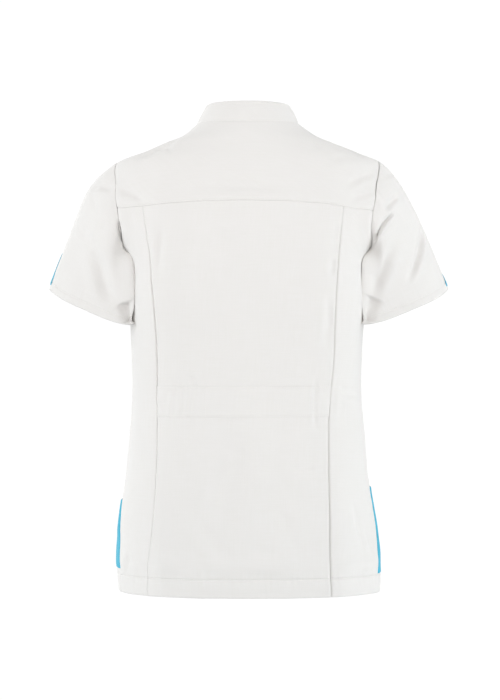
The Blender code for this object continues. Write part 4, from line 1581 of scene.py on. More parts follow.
@dataclass
class Stitching:
    """Rows of lockstitch in one colour, gathered while the pieces are made and then laid by Geometry Nodes.

    Each stitch is a short, slightly sunken spindle of thread, a little out of line with its neighbours.
    """

    name: str
    slot: Slot
    seed: int
    length: float = 2.7 * MM
    pitch: float = 3.1 * MM
    radius: float = 0.24 * MM
    sway: float = 0.05
    lines: list[Array] = field(default_factory=list)

    def sew(self, line: Array, normals: Array, closed: bool = False) -> None:
        """Adds a row of stitching on a line, standing a little out of the cloth."""
        points = line + (THICKNESS / 2 + 0.02 * MM) * normals
        self.lines.append(np.concatenate((points, points[:1])) if closed else points)

    def row(self, grid: Grid, edge: Edge, off: float, start: int = 0, stop: Optional[int] = None) -> None:
        """Sews along an edge of a grid, at a distance from it, from one of its lines to another."""
        line, normals = grid.line(edge, off)
        self.sew(line[start:stop], normals[start:stop])

    def lay(self, tree: bpy.types.NodeTree, given: Any) -> bpy.types.NodeSocket:
        """Lays a stitch at every pitch along the rows.

        Args:
            tree: the geometry tree.
            given: the sockets of its inputs.

        Returns:
            The stitches' socket.
        """
        curve = add_node(tree, "GeometryNodeMeshToCurve", Mesh=given["Geometry"])["Curve"]
        even = {"Curve": curve, "Length": given["Pitch"]}
        spread = add_node(tree, "GeometryNodeCurveToPoints", {"mode": "LENGTH"}, **even)
        run = spread["Tangent"]
        aligned = add_node(tree, "FunctionNodeAlignRotationToVector", {"axis": "X"}, Vector=run)[0]
        less = add_node(tree, "ShaderNodeMath", {"operation": "MULTIPLY"}, i0=given["Sway"], i1=-1.0)[0]
        ends = (less, given["Sway"])
        low, high = (add_node(tree, "ShaderNodeCombineXYZ", X=end, Y=end, Z=end)[0] for end in ends)
        limits = {"i0": low, "i1": high, "Seed": given["Seed"]}
        random = add_node(tree, "FunctionNodeRandomValue", {"data_type": "FLOAT_VECTOR"}, **limits)[0]
        swayed = add_node(tree, "FunctionNodeEulerToRotation", Euler=random)[0]
        local, turns = {"rotation_space": "LOCAL"}, {"Rotation": aligned, "Rotate_By": swayed}
        turned = add_node(tree, "FunctionNodeRotateRotation", local, **turns)[0]
        length, radius = given["Stitch Length"], given["Thread Radius"]
        half = add_node(tree, "ShaderNodeMath", {"operation": "MULTIPLY"}, i0=length, i1=0.5)[0]
        size = add_node(tree, "ShaderNodeCombineXYZ", X=half, Y=radius, Z=radius)[0]
        spindle = add_node(tree, "GeometryNodeMeshUVSphere", Segments=6, Rings=4, Radius=1.0)["Mesh"]
        copies = {"Points": spread["Points"], "Instance": spindle, "Rotation": turned, "Scale": size}
        laid = add_node(tree, "GeometryNodeInstanceOnPoints", **copies)[0]
        real = add_node(tree, "GeometryNodeRealizeInstances", Geometry=laid)[0]
        smooth = add_node(tree, "GeometryNodeSetShadeSmooth", i0=real)[0]
        return add_node(tree, "GeometryNodeSetMaterial", Geometry=smooth, Material=given["Thread"])[0]

    def make(self, palette: Palette) -> None:
        """Lays all rows as one mesh that rides on the frame.

        Args:
            palette: the finishes.
        """
        points = np.concatenate(self.lines)
        edges, start = [], 0
        for line in self.lines:
            edges += [(start + k, start + k + 1) for k in range(len(line) - 1)]
            start += len(line)
        base = bpy.data.meshes.new(f"{self.name}_rows")
        base.from_pydata(points.tolist(), edges, [])
        inputs = {
            "Stitch Length": Given("NodeSocketFloat", self.length),
            "Pitch": Given("NodeSocketFloat", self.pitch),
            "Thread Radius": Given("NodeSocketFloat", self.radius),
            "Sway": Given("NodeSocketFloat", self.sway),
            "Seed": Given("NodeSocketInt", self.seed),
            "Thread": Given("NodeSocketMaterial", palette.thread[self.slot]),
        }
        obj = laid_by_nodes(self.name, base, inputs, self.lay)
        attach(obj, BODY)
        LOG.info("%s: %d points", obj.name, len(obj.data.vertices))


# ---- Pieces of cloth
@dataclass(kw_only=True)
class ClothPiece:
    """What every piece of cloth shares: the body, the stitching, its side and its fineness."""

    body: BodyForm
    white: Stitching
    blue: Stitching
    side: Side = LEFT
    spacing: float = SPACING
    dense_rows: int = 110
    dense_columns: int = 70
    dense_top: int = 30

    def piece(self) -> Piece:
        """Cuts the piece and sews its rows of stitching.

        Returns:
            The piece, ready to be made.
        """
        raise NotImplementedError

    def fine_places(self, places: Array, bottom: Array = SEAM_ROWS) -> Array:
        """A coarse grid of places at its final fineness.

        Args:
            places: the coarse grid.
            bottom: the distances of its lowest rows from its bottom edge.

        Returns:
            The fine grid of places.
        """
        for _ in range(2):
            points = self.body.surface(places)
            widest = lengths_along(points, 1)[:, -1].max()
            middle = max(2, round((widest - 2 * SEAM_ROWS[-1]) / self.spacing))
            places = spaced_columns(places, points, SEAM_ROWS, SEAM_ROWS, middle)
            points = self.body.surface(places)
            tall = lengths_along(points, 0)[-1].max()
            middle = max(2, round((tall - bottom[-1] - SEAM_ROWS[-1]) / self.spacing))
            places = spaced_rows(places, points, bottom, SEAM_ROWS, middle)
        return places

    def panel(
        self, places: Array, seams: dict[Edge, SeamEdge], hem: Optional[Hem] = None, lap: int = 0
    ) -> Grid:
        """A panel's grid at its final fineness, with its folds, seams and hem.

        Args:
            places: a coarse grid of the panel's places.
            seams: the seam at each edge.
            hem: its hem, if it has one.
            lap: 1 or -1 where its edge laps over or under at the centre front.

        Returns:
            The grid, with no inside layer yet.
        """
        places = self.fine_places(places, HEM_ROWS if hem else SEAM_ROWS)
        points, normals = self.body.cloth(places)
        if lap:
            near = smoothstep((OVERLAP + LAP_FADE - np.abs(points[..., 0])) / LAP_FADE) * (points[..., 1] < 0)
            points = points + (lap * LAPPED * near)[..., None] * normals
        grid = Grid.of(points, normals)
        height = grid.sewn(seams, where=places[..., 1])
        return grid.lifted(height + hem.height(grid) if hem else height)

    def back_edge(self, side: Side) -> Array:
        """Places up the princess seam, from the hem to the yoke seam.

        Args:
            side: which princess seam.

        Returns:
            The places.
        """
        meet = self.body.yoke_seam(2, 2)[2 if side < 0 else -3]
        lower = np.linspace(HEM, ARMPIT, self.dense_rows)
        ups = np.concatenate((lower, np.linspace(ARMPIT, meet[1], self.dense_top + 1)[1:]))
        edge = self.body.princess_seam(side, ups)
        edge[-1] = meet
        return edge

    def outer_edge(self, first: float, last: float) -> Array:
        """Places up a side seam and on round a part of its armhole.

        Args:
            first: the turn at the armpit.
            last: the turn at which the edge ends.

        Returns:
            The places.
        """
        ups = np.linspace(HEM, ARMPIT, self.dense_rows)
        turns = self.body.even_turns(self.side, first, last, self.dense_top)
        return np.concatenate((self.body.side_seam(self.side, ups), self.body.armhole(self.side, turns[1:])))

    def front_edge(self, inset: float) -> Array:
        """Places up a front at a set distance past or short of the centre line.

        Args:
            inset: how far short of it they are, which is negative past it.

        Returns:
            The places.
        """
        ups = np.linspace(HEM, ARMPIT, self.dense_rows)
        ups = np.concatenate((ups, np.linspace(ARMPIT, NECK, self.dense_top + 1)[1:]))
        share = inset / RINGS.at("half_width", ups)
        return places_of(self.side * (180.0 - np.degrees(np.arcsin(share))), ups)


@dataclass(kw_only=True)
class BackCentre(ClothPiece):
    """The centre back, between the princess seams, under the yoke."""

    cut: Cut = Cut(0.315, 0.640, Held.HUNG, 0.190)
    hem: Hem = Hem(HEM_DEPTH, seed=3)

    def piece(self) -> Piece:
        """The centre back, its princess seams topstitched."""
        seam = self.body.yoke_seam(self.dense_columns, 2)[2:-2]
        places = between(self.back_edge(RIGHT), self.back_edge(LEFT), seam, self.dense_rows - 1)
        stitched = {"roll_width": 1.1 * MM, "pressed": PRESSED, "stitch": TOPSTITCH}
        seams = {
            Edge.FIRST: SeamEdge(**stitched, seed=102, shares=PRINCESS_ROLL[RIGHT]),
            Edge.LAST: SeamEdge(**stitched, seed=101, shares=PRINCESS_ROLL[LEFT]),
            Edge.TOP: SeamEdge(roll=0.7 * MM, seed=13),
        }
        grid = self.panel(places, seams, self.hem)
        for edge in (Edge.FIRST, Edge.LAST):
            self.white.row(grid, edge, TOPSTITCH, 1, -3)
        self.white.row(grid, Edge.BOTTOM, HEM_DEPTH)
        return Piece("back_centre", self.cut, [grid.turned_up(self.hem)], ("back_yoke",))


@dataclass(kw_only=True)
class BackSide(ClothPiece):
    """A side back, from the princess seam to the side seam and the armhole."""

    cut: Cut = Cut(0.125, 0.640, Held.HUNG, 0.064)

    def piece(self) -> Piece:
        """The side back, hemmed."""
        side = self.side
        inner, outer = self.back_edge(side), self.outer_edge(180.0, ARMHOLES[side].yoke_turn)
        seam = self.body.yoke_seam(2, self.dense_columns)
        princess = SeamEdge(roll_width=1.0 * MM, seed=101 if side > 0 else 102, shares=PRINCESS_ROLL[side])
        outside = SeamEdge(roll=0.9 * MM, seed=17 + side, shares=ARMHOLE_ROLL)
        over = SeamEdge(roll=0.7 * MM, seed=19 + side)
        hem = Hem(HEM_DEPTH, seed=6 + side)
        if side < 0:
            places = between(outer, inner, seam[: self.dense_columns + 1], self.dense_rows - 1)
            seams = {Edge.FIRST: outside, Edge.LAST: princess, Edge.TOP: over}
        else:
            places = between(inner, outer, seam[-1 - self.dense_columns :], self.dense_rows - 1)
            seams = {Edge.FIRST: princess, Edge.LAST: outside, Edge.TOP: over}
        grid = self.panel(places, seams, hem)
        self.white.row(grid, Edge.BOTTOM, HEM_DEPTH)
        return Piece(f"back_side_{side.word}", self.cut, [grid.turned_up(hem)], ("back_yoke",))


@dataclass(kw_only=True)
class Yoke(ClothPiece):
    """The yoke, from the yoke seam and over the shoulders to a forward seam on the fronts."""

    cut: Cut = Cut(0.500, 0.290, Held.LAID, 0.085)

    def piece(self) -> Piece:
        """The yoke, topstitched on its panels."""
        sides = []
        for side in (RIGHT, LEFT):
            turns = self.body.even_turns(side, ARMHOLES[side].yoke_turn, FRONT_YOKE_TURN, self.dense_columns)
            sides.append(self.body.armhole(side, turns))
        seam = self.body.yoke_seam(self.dense_columns, self.dense_columns // 2)
        lower = np.concatenate((sides[0][::-1][:-1], seam, sides[1][1:]))
        upper = lower * np.array((FRONT_YOKE_NECK / lower[-1, 0], 0.0))
        upper[:, 0] *= np.where(lower[:, 0] < 0, lower[-1, 0] / -lower[0, 0], 1.0)
        rows = np.linspace(0.0, 1.0, self.dense_top)[:, None, None]
        stitched = {"pressed": PRESSED, "stitch": TOPSTITCH}
        seams = {
            Edge.FIRST: SeamEdge(**stitched, seed=23, shares=ARMHOLE_ROLL),
            Edge.LAST: SeamEdge(**stitched, seed=24, shares=ARMHOLE_ROLL),
            Edge.TOP: SeamEdge(roll=0.04 * MM, roll_width=1.2 * MM, pucker=0.08 * MM, seed=25),
        }
        grid = self.panel(lower * (1 - rows) + upper * rows, seams)
        grid = grid.lifted(grid.sewn({Edge.BOTTOM: SeamEdge(**stitched, roll=0.7 * MM, seed=26)}))
        self.white.row(grid, Edge.BOTTOM, TOPSTITCH, 9, -9)
        for edge in (Edge.FIRST, Edge.LAST):
            self.white.row(grid, edge, TOPSTITCH, 10, -3)
        return Piece("back_yoke", self.cut, [grid], ("front_left", "front_right"))


@dataclass(kw_only=True)
class HalfBelt(ClothPiece):
    """The half belt across the centre back at the waist, its ends caught in the princess seams."""

    cut: Cut = Cut(0.290, 0.062, Held.LAID)
    lay_on: float = 0.72 * MM
    turning: float = 7 * MM  # how deep its long edges are folded under
    plumpness: float = 0.35 * MM

    def piece(self) -> Piece:
        """The half belt, edge stitched, with a tack at each end of its elastic."""
        ups = np.linspace(BELT_BOTTOM, BELT_TOP, 12)
        right, left = (self.body.princess_seam(side, ups)[:, None] for side in (RIGHT, LEFT))
        shares = np.linspace(0.0, 1.0, self.dense_columns)[:, None]
        places = self.fine_places(right * (1 - shares) + left * shares)
        points, normals = self.body.cloth(places)
        grid = Grid.of(points + self.lay_on * normals, normals)
        folded = {"pressed": 8 * MM, "roll": 0.42 * MM, "roll_width": 0.9 * MM, "stitch": EDGE_STITCH}
        seams = {
            Edge.FIRST: SeamEdge(roll=1.6 * MM, seed=51),
            Edge.LAST: SeamEdge(roll=1.6 * MM, seed=52),
            Edge.BOTTOM: SeamEdge(**folded, pucker=0.10 * MM, seed=54),
            Edge.TOP: SeamEdge(**folded, pucker=0.10 * MM, seed=53),
        }
        middle = bell((grid.bottom - grid.top) / 2, 9 * MM)
        grid = grid.lifted(grid.sewn(seams) + self.plumpness * middle)
        for edge in (Edge.BOTTOM, Edge.TOP):
            self.white.row(grid, edge, EDGE_STITCH, 3, -3)
        for tack in (LEFT_TACK, RIGHT_TACK):
            column = int(np.argmin(np.abs(places[len(places) // 2, :, 0] - tack)))
            self.white.sew(grid.points[3:-3, column], grid.normals[3:-3, column])
        turned = [grid.folded_under(edge, self.turning, 0.55 * MM) for edge in (Edge.BOTTOM, Edge.TOP)]
        return Piece("back_waistband", self.cut, [grid, *turned], ("back_centre",))


@dataclass(kw_only=True)
class Front(ClothPiece):
    """A front, from its lapped edge past the centre line, round to the side seam and the armhole."""

    cut: Cut = Cut(0.330, 0.740, Held.HUNG, 0.205)
    spacing: float = 4.0 * MM
    facing: float = 26.0 * MM  # from its edge to the stitching that holds its facing

    def piece(self) -> Piece:
        """The front, hemmed and faced."""
        side = self.side
        edge, outer = self.front_edge(-OVERLAP), self.outer_edge(-180.0, FRONT_YOKE_TURN)
        corner = np.array((side * FRONT_YOKE_NECK, NECK))
        neck = np.linspace(edge[-1], corner, self.dense_columns)
        shoulder = np.linspace(corner, outer[-1], self.dense_columns)
        places = between(edge, outer, np.concatenate((neck, shoulder[1:])), self.dense_rows - 1)
        folded = SeamEdge(roll=0.0, stitch=self.facing, pucker=0.10 * MM, seed=31)
        outside = SeamEdge(roll=0.9 * MM, seed=33 + side)
        over = SeamEdge(roll=1.0 * MM, seed=36 + side)
        hem = Hem(HEM_DEPTH, seed=11 + side, swell=0.2 * MM)
        if side > 0:
            free, seams = Edge.LAST, {Edge.FIRST: outside, Edge.LAST: folded, Edge.TOP: over}
        else:
            free, seams = Edge.FIRST, {Edge.FIRST: folded, Edge.LAST: outside, Edge.TOP: over}
        grid = self.panel(places[:, ::-1] if side > 0 else places, seams, hem, -side)
        self.white.row(grid, free, self.facing, 1, -3)
        self.white.row(grid, Edge.BOTTOM, HEM_DEPTH)
        rounded = grid.lifted(-0.5 * TURNED * bell(grid.off(free), 0.7 * MM))
        above = grid.cut(grid.bottom[:, 0] > HEM_DEPTH + 1.5 * MM)
        layers = [rounded.turned_up(hem), above.folded_under(free, self.facing, TURNED)]
        return Piece(f"front_{side.word}", self.cut, layers, ("back_yoke",))


@dataclass(kw_only=True)
class Pocket(ClothPiece):
    """A patch pocket on a front, from above the hem's stitches up, its outer edge in the side seam.

    left_ends and right_ends are the heights of its mouth and its foot, inner_edge the share of the way round
    its front at which it starts, and puff how far its mouth stands off the front.
    """

    left_ends: tuple[float, float] = (-0.571, HEM_STITCH + 7.5 * MM)
    right_ends: tuple[float, float] = (-0.552, HEM_STITCH + 0.5 * MM)
    cut: Cut = Cut(0.190, 0.160, Held.LAID)
    inner_edge: float = 0.3
    hem_depth: float = 22.0 * MM
    puff: float = 2.5 * MM

    def piece(self) -> Piece:
        """The pocket, edge stitched, its mouth slightly open."""
        side = self.side
        inner, outer = self.front_edge(OVERLAP), self.outer_edge(-180.0, FRONT_YOKE_TURN)
        mouth, foot = self.left_ends if side is LEFT else self.right_ends
        ups = np.linspace(mouth, foot, 40)
        columns = []
        for share in np.linspace(self.inner_edge, 1.0, 30):
            line = inner[: self.dense_rows] * (1 - share) + outer[: self.dense_rows] * share
            columns.append(places_of(np.interp(ups, line[:, 1], line[:, 0]), ups))
        places = self.fine_places(np.stack(columns, axis=1), HEM_ROWS[:-4])
        points, normals = self.body.cloth(places)
        grid = Grid.of(points + LAY_ON * normals, normals)
        grid = grid.lifted(0.4 * MM * bell(grid.bottom, 16 * MM))  # over the ripples of the front's hem
        across = np.sin(math.pi * np.clip(grid.first / (grid.first + grid.last), 0.0, 1.0))
        down = np.cos(0.5 * math.pi * np.clip(grid.bottom / (grid.bottom + grid.top), 0.0, 1.0))
        puff = self.puff * down * np.sqrt(across.clip(0.0))
        narrow = {"roll": 0.50 * MM, "roll_width": 0.45 * MM, "stitch": EDGE_STITCH}
        sewn = SeamEdge(**narrow, pucker=0.16 * MM, seed=61 + side)
        caught = SeamEdge(roll=1.3 * MM, seed=63 + side)
        height = grid.sewn({Edge.FIRST: sewn, Edge.LAST: caught, Edge.TOP: sewn}, puff)
        off = grid.bottom - self.hem_depth
        height = height - 0.35 * MM * bell(off, 0.8 * MM)
        height = height + 0.15 * MM * ripple(grid.first, 66 + side) * np.exp(-np.abs(off) / (8 * MM))
        grid = grid.lifted(height)
        self.blue.row(grid, Edge.FIRST, EDGE_STITCH, 2, -3)
        self.blue.row(grid, Edge.TOP, EDGE_STITCH, 3, -3)
        self.blue.row(grid, Edge.BOTTOM, self.hem_depth, 4, -3)
        layers = [grid.turned_up(Hem(self.hem_depth, drop=(0.0, 0.0, 1.0)))]
        return Piece(f"pocket_{side.word}", self.cut, layers, (f"front_{side.word}",), Slot.BLUE)


@dataclass(kw_only=True)
class Collar(ClothPiece):
    """The stand collar: two layers that meet along a rolled top edge, open at the centre front."""

    cut: Cut = Cut(0.470, 0.082, Held.FOLDED)
    end: float = 3.0 * MM  # from the centre line to each of its ends
    back_height: float = 0.0335
    side_height: float = 0.0290
    lean: float = 0.0145
    row_height: float = 0.034  # the height by which its rows are spaced
    corner: float = 9.5 * MM  # how far its ends are rounded
    gap: float = 1.5 * MM  # from its outer layer to its inner one
    stitch: float = 5.0 * MM
    rows: int = 16

    def piece(self) -> Piece:
        """The collar, stitched at its foot and round its edge."""
        end = 180.0 - math.degrees(math.asin(self.end / RINGS.columns["half_width"][-1]))
        coarse = np.linspace(-end, end, self.body.arc_samples)
        length = lengths_along(self.body.surface(places_of(coarse, 0.0)), 0)
        count = round(length[-1] / self.spacing)
        middle = np.linspace(SEAM_ROWS[-1], length[-1] - SEAM_ROWS[-1], count)[1:-1]
        wanted = np.concatenate((SEAM_ROWS, middle, length[-1] - SEAM_ROWS[::-1]))
        around = np.interp(wanted, length, coarse)
        places = places_of(around, 0.0)
        seam, normals = self.body.cloth(places)[0], self.body.outward(places)
        level = unit(seam * (1.0, 1.0, 0.0))
        to_side = np.where(np.abs(around) < 90.0, np.sin(np.radians(around)) ** 2, 1.0)
        rise = self.back_height + (self.side_height - self.back_height) * to_side
        ways = unit(rise[:, None] * np.array((0.0, 0.0, 1.0)) - self.lean * level)
        # It laps deeper over the yoke where the shoulder lies flat.
        lap = 0.35 * MM + 0.30 * MM * bell(np.abs(around)[:, None] - 85.0, 26.0)
        base = seam + 0.30 * MM * normals - lap * ways
        off = np.minimum(wanted, length[-1] - wanted)
        rounding = self.corner * (1 - np.sqrt(1 - (1 - np.clip(off / self.corner, 0.0, 1.0)) ** 2))
        tall = np.hypot(rise, self.lean) - rounding * 0.85
        low, high = SEAM_ROWS / self.row_height, 1 - HEM_ROWS[:6][::-1] / self.row_height
        shares = np.concatenate((low, np.linspace(0.30, 0.74, self.rows), high))
        points = base + shares[:, None, None] * tall[:, None] * ways
        outwards = unit(np.cross(ways, np.gradient(points, axis=1)))
        outwards = outwards * np.sign(np.sum(outwards * level, axis=-1, keepdims=True))
        grid = Grid.of(points, outwards)
        foot = SeamEdge(roll=0.08 * MM, stitch=EDGE_STITCH, pucker=0.10 * MM, seed=71)
        over = SeamEdge(roll=0.0, stitch=self.stitch, pucker=0.08 * MM, seed=72)
        wander = 0.35 * MM * Unevenness(31, 0.070, 0.030).at(points) * smoothstep(grid.bottom / (6 * MM))
        height = grid.sewn({Edge.BOTTOM: foot, Edge.TOP: over}, wander)
        # The roll of cloth between the two layers swells it a little in the middle of its height.
        grid = grid.lifted(height + 0.5 * MM * bell(shares - 0.5, 0.35)[:, None])
        self.white.row(grid, Edge.BOTTOM, EDGE_STITCH, 6, -6)
        self.white.row(grid, Edge.TOP, self.stitch, 4, -4)
        for edge in (Edge.FIRST, Edge.LAST):
            self.white.row(grid, edge, self.stitch, 4, -8)
        rests_on = ("back_yoke", "front_left", "front_right")
        return Piece("collar", self.cut, [self.doubled(grid)], rests_on)

    def doubled(self, grid: Grid) -> Grid:
        """The collar's two layers as one grid, closer together at its ends and its top edge.

        Args:
            grid: its outer layer.

        Returns:
            The grid, which goes up its outer layer and down its inner one.
        """
        close = 1 - 0.8 * bell(np.minimum(grid.first, grid.last), 1.0 * MM) - 0.72 * bell(grid.top, 0.8 * MM)
        gap = self.gap * np.clip(close, 0.15, 1.0)
        pinch = (0.5 * (self.gap - gap))[..., None] * grid.normals
        outer, inner = grid.points - pinch, grid.points - gap[..., None] * grid.normals - pinch
        return Grid(
            np.concatenate((outer, inner[::-1])),
            np.concatenate((grid.normals, -grid.normals[::-1])),
            np.concatenate((grid.bottom, 2 * grid.bottom[-1] - grid.bottom[::-1])),
            *(np.concatenate((part, part[::-1])) for part in (grid.top, grid.first, grid.last)),
        )


@dataclass(kw_only=True)
class Sleeve(ClothPiece):
    """A short set-in sleeve with its turned-up hem, its one seam under the arm."""

    form: SleeveForm
    cut: Cut = Cut(0.400, 0.270, Held.HUNG, 0.078)
    spacing: float = 2.4 * MM
    columns: int = 180
    hem_depth: float = 11.0 * MM

    def piece(self) -> Piece:
        """The sleeve, hemmed."""
        side = self.side
        turns = self.body.even_turns(side, 180.0, -180.0, self.columns)[:-1]
        near = np.array((0.45, 0.9, 1.6)) / 2.4 * (turns[0] - turns[1])  # extra columns close to the seam
        turns = np.concatenate((turns[:1], turns[0] - near, turns[1:], turns[0] - 360 + near[::-1]))
        places = places_of(turns[None, :], np.linspace(1.0, 0.0, 60)[:, None])
        points = self.form.surface(places)
        middle = round(lengths_along(points, 0)[-1].max() / self.spacing) - 20
        places = spaced_rows(places, points, CUFF_ROWS, SEAM_ROWS, middle)
        grid = Grid.of(*self.form.cloth(places), closed=True)
        rolled = {"roll": 1.1 * MM, "roll_width": 0.9 * MM, "pucker": 0.14 * MM}
        head = SeamEdge(**rolled, seed=81 + side, shares=HEAD_ROLL[side])
        under = SeamEdge(roll=0.7 * MM, seed=83 + side)
        hem = Hem(self.hem_depth, 85 + side, 0.7 * MM, (0.3 * side, 0.0, -0.95))
        height = head.height(grid.top, grid.first, places[..., 0]) + hem.height(grid)
        height = height + under.height(np.minimum(grid.first, grid.last), grid.bottom)
        grid = grid.lifted(height)
        self.white.sew(*grid.line(Edge.BOTTOM, self.hem_depth), closed=True)
        rests_on = (f"front_{side.word}", f"back_side_{side.word}", "back_yoke")
        return Piece(f"sleeve_{side.word}", self.cut, [grid.turned_up(hem)], rests_on)


@dataclass(kw_only=True)
class SleeveInsert(ClothPiece):
    """The contrast insert over the top of the arm, above the hem's stitches.

    left_top and right_top are the steps down the sleeve at which its upper edge lies, by turn, and bottom the
    step of its lower edge.
    """

    form: SleeveForm
    left_cut: Cut = Cut(0.090, 0.060, Held.LAID, 0.0036)
    right_cut: Cut = Cut(0.090, 0.060, Held.LAID, 0.0028)
    left_top: Knots = ((-53.0, 0.75), (-38.4, 0.76), (-22.0, 0.79), (-7.1, 0.83), (2.8, 0.86), (17.0, 0.95))
    right_top: Knots = ((-53.0, 0.78), (-38.3, 0.80), (-22.0, 0.85), (-6.1, 0.905), (4.0, 0.93), (16.0, 0.97))
    bottom: float = 0.985
    swell: float = 0.35 * MM

    def piece(self) -> Piece:
        """The insert, stitched along its four edges."""
        side, form = self.side, self.form
        cut, top = (self.left_cut, self.left_top) if side is LEFT else (self.right_cut, self.right_top)
        across = np.linspace(top[-1][0], top[0][0], 50)
        rows = np.linspace(0.0, 1.0, 20)[:, None]
        places = places_of(across[None, :], self.bottom + (follow(top, across) - self.bottom) * rows)
        points = form.surface(places)
        middle = round(lengths_along(points, 1)[:, -1].max() / self.spacing)
        places = spaced_columns(places, points, INSERT_ROWS, INSERT_ROWS, middle)
        points = form.surface(places)
        middle = round(lengths_along(points, 0)[-1].max() / self.spacing)
        places = spaced_rows(places, points, INSERT_ROWS, INSERT_ROWS, middle)
        points, normals = form.cloth(places)
        grid = Grid.of(points + (LAY_ON + self.swell) * normals, normals)
        flat = {"roll": 0.60 * MM, "roll_width": 0.45 * MM, "stitch": EDGE_STITCH, "pucker": 0.10 * MM}
        edges = (Edge.FIRST, Edge.LAST, Edge.BOTTOM, Edge.TOP)
        grid = grid.lifted(grid.sewn({edge: SeamEdge(**flat, seed=91 + side) for edge in edges}))
        for edge in edges:
            self.blue.row(grid, edge, EDGE_STITCH, 3, -3)
        return Piece(f"sleeve_insert_{side.word}", cut, [grid], (f"sleeve_{side.word}",), Slot.BLUE)


@dataclass
class PressStuds:
    """The six press studs down the centre front: low domes with a rolled rim, set by Geometry Nodes."""

    body: BodyForm
    count: int = 6
    top: float = -0.020
    pitch: float = 0.109
    radius: float = 5.5 * MM
    height: float = 2.0 * MM
    segments: int = 10
    seed: int = 11
    profile: Knots = ((0.35, 0.92), (0.62, 0.80), (0.80, 0.98), (1.0, 0.55), (0.98, 0.0))

    def cap(self) -> bpy.types.Object:
        """One cap as a coarse cage, which a Subsurf rounds later.

        Returns:
            The cap's object.
        """
        n = self.segments
        angles = np.linspace(0.0, 2 * math.pi, n, endpoint=False)
        points = [(0.0, 0.0, 0.94 * self.height)]
        for share, level in self.profile:
            across = share * self.radius
            points += [(across * math.cos(a), across * math.sin(a), level * self.height) for a in angles]
        faces = [(0, 1 + k, 1 + (k + 1) % n) for k in range(n)]
        for ring in range(len(self.profile) - 1):
            low = 1 + ring * n
            faces += [(low + k, low + n + k, low + n + (k + 1) % n, low + (k + 1) % n) for k in range(n)]
        last = 1 + (len(self.profile) - 1) * n
        faces.append(tuple(last + k for k in reversed(range(n))))
        mesh = bpy.data.meshes.new("press_stud_cap")
        mesh.from_pydata(points, [], faces)
        mesh.shade_smooth()
        return link("press_stud_cap", mesh)

    def lay(self, tree: bpy.types.NodeTree, given: Any) -> bpy.types.NodeSocket:
        """Sets a cap on each point, square to the cloth and turned at random.

        Args:
            tree: the geometry tree.
            given: the sockets of its inputs.

        Returns:
            The caps' socket.
        """
        cap = add_node(tree, "GeometryNodeObjectInfo", Object=given["Cap"])["Geometry"]
        named = {"data_type": "FLOAT_VECTOR"}
        way = add_node(tree, "GeometryNodeInputNamedAttribute", named, Name="way")[0]
        square = add_node(tree, "FunctionNodeAlignRotationToVector", {"axis": "Z"}, Vector=way)[0]
        drawn = {"i3": given["Turn"], "Seed": given["Seed"]}
        random = add_node(tree, "FunctionNodeRandomValue", {"data_type": "FLOAT"}, **drawn)[1]
        spun = add_node(tree, "ShaderNodeCombineXYZ", Z=random)[0]
        spin = add_node(tree, "FunctionNodeEulerToRotation", Euler=spun)[0]
        local, turns = {"rotation_space": "LOCAL"}, {"Rotation": square, "Rotate_By": spin}
        turned = add_node(tree, "FunctionNodeRotateRotation", local, **turns)[0]
        points = add_node(tree, "GeometryNodeMeshToPoints", Mesh=given["Geometry"])[0]
        copies = {"Points": points, "Instance": cap, "Rotation": turned}
        laid = add_node(tree, "GeometryNodeInstanceOnPoints", **copies)[0]
        real = add_node(tree, "GeometryNodeRealizeInstances", Geometry=laid)[0]
        return add_node(tree, "GeometryNodeSetMaterial", Geometry=real, Material=given["Resin"])[0]

    def make(self, palette: Palette) -> None:
        """Makes the studs as one object that rides on the frame.

        Args:
            palette: the finishes.
        """
        ups = self.top - self.pitch * np.arange(self.count)
        points, normals = self.body.cloth(places_of(-180.0, ups))
        points = points + (LAPPED + THICKNESS / 2 + 0.05 * MM) * normals
        base = bpy.data.meshes.new("press_stud_places")
        base.from_pydata(points.tolist(), [], [])
        base.attributes.new("way", "FLOAT_VECTOR", "POINT").data.foreach_set("vector", normals.ravel())
        cap = self.cap()
        inputs = {
            "Cap": Given("NodeSocketObject", cap),
            "Turn": Given("NodeSocketFloat", 2 * math.pi),
            "Seed": Given("NodeSocketInt", self.seed),
            "Resin": Given("NodeSocketMaterial", palette.resin),
        }
        obj = laid_by_nodes("press_studs", base, inputs, self.lay)
        bpy.data.objects.remove(cap)
        smooth = obj.modifiers.new("Rounded", "SUBSURF")
        smooth.levels = smooth.render_levels = 2
        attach(obj, BODY)
        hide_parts(*(f"press_stud_{number + 1}" for number in range(self.count)))
        LOG.info("%s: %d caps", obj.name, self.count)


# ---- Floor, light and camera
class Softbox(NamedTuple):
    """A soft area light: its place, sides, colour and watts, what it is aimed at and how wide it fans out."""

    name: str
    place: Vector3
    width: float
    height: float
    colour: str
    power: float
    aim: Vector3 = (0.0, 0.0, -0.35)
    spread: float = 180.0  # degrees; a narrow one is a softbox behind a grid


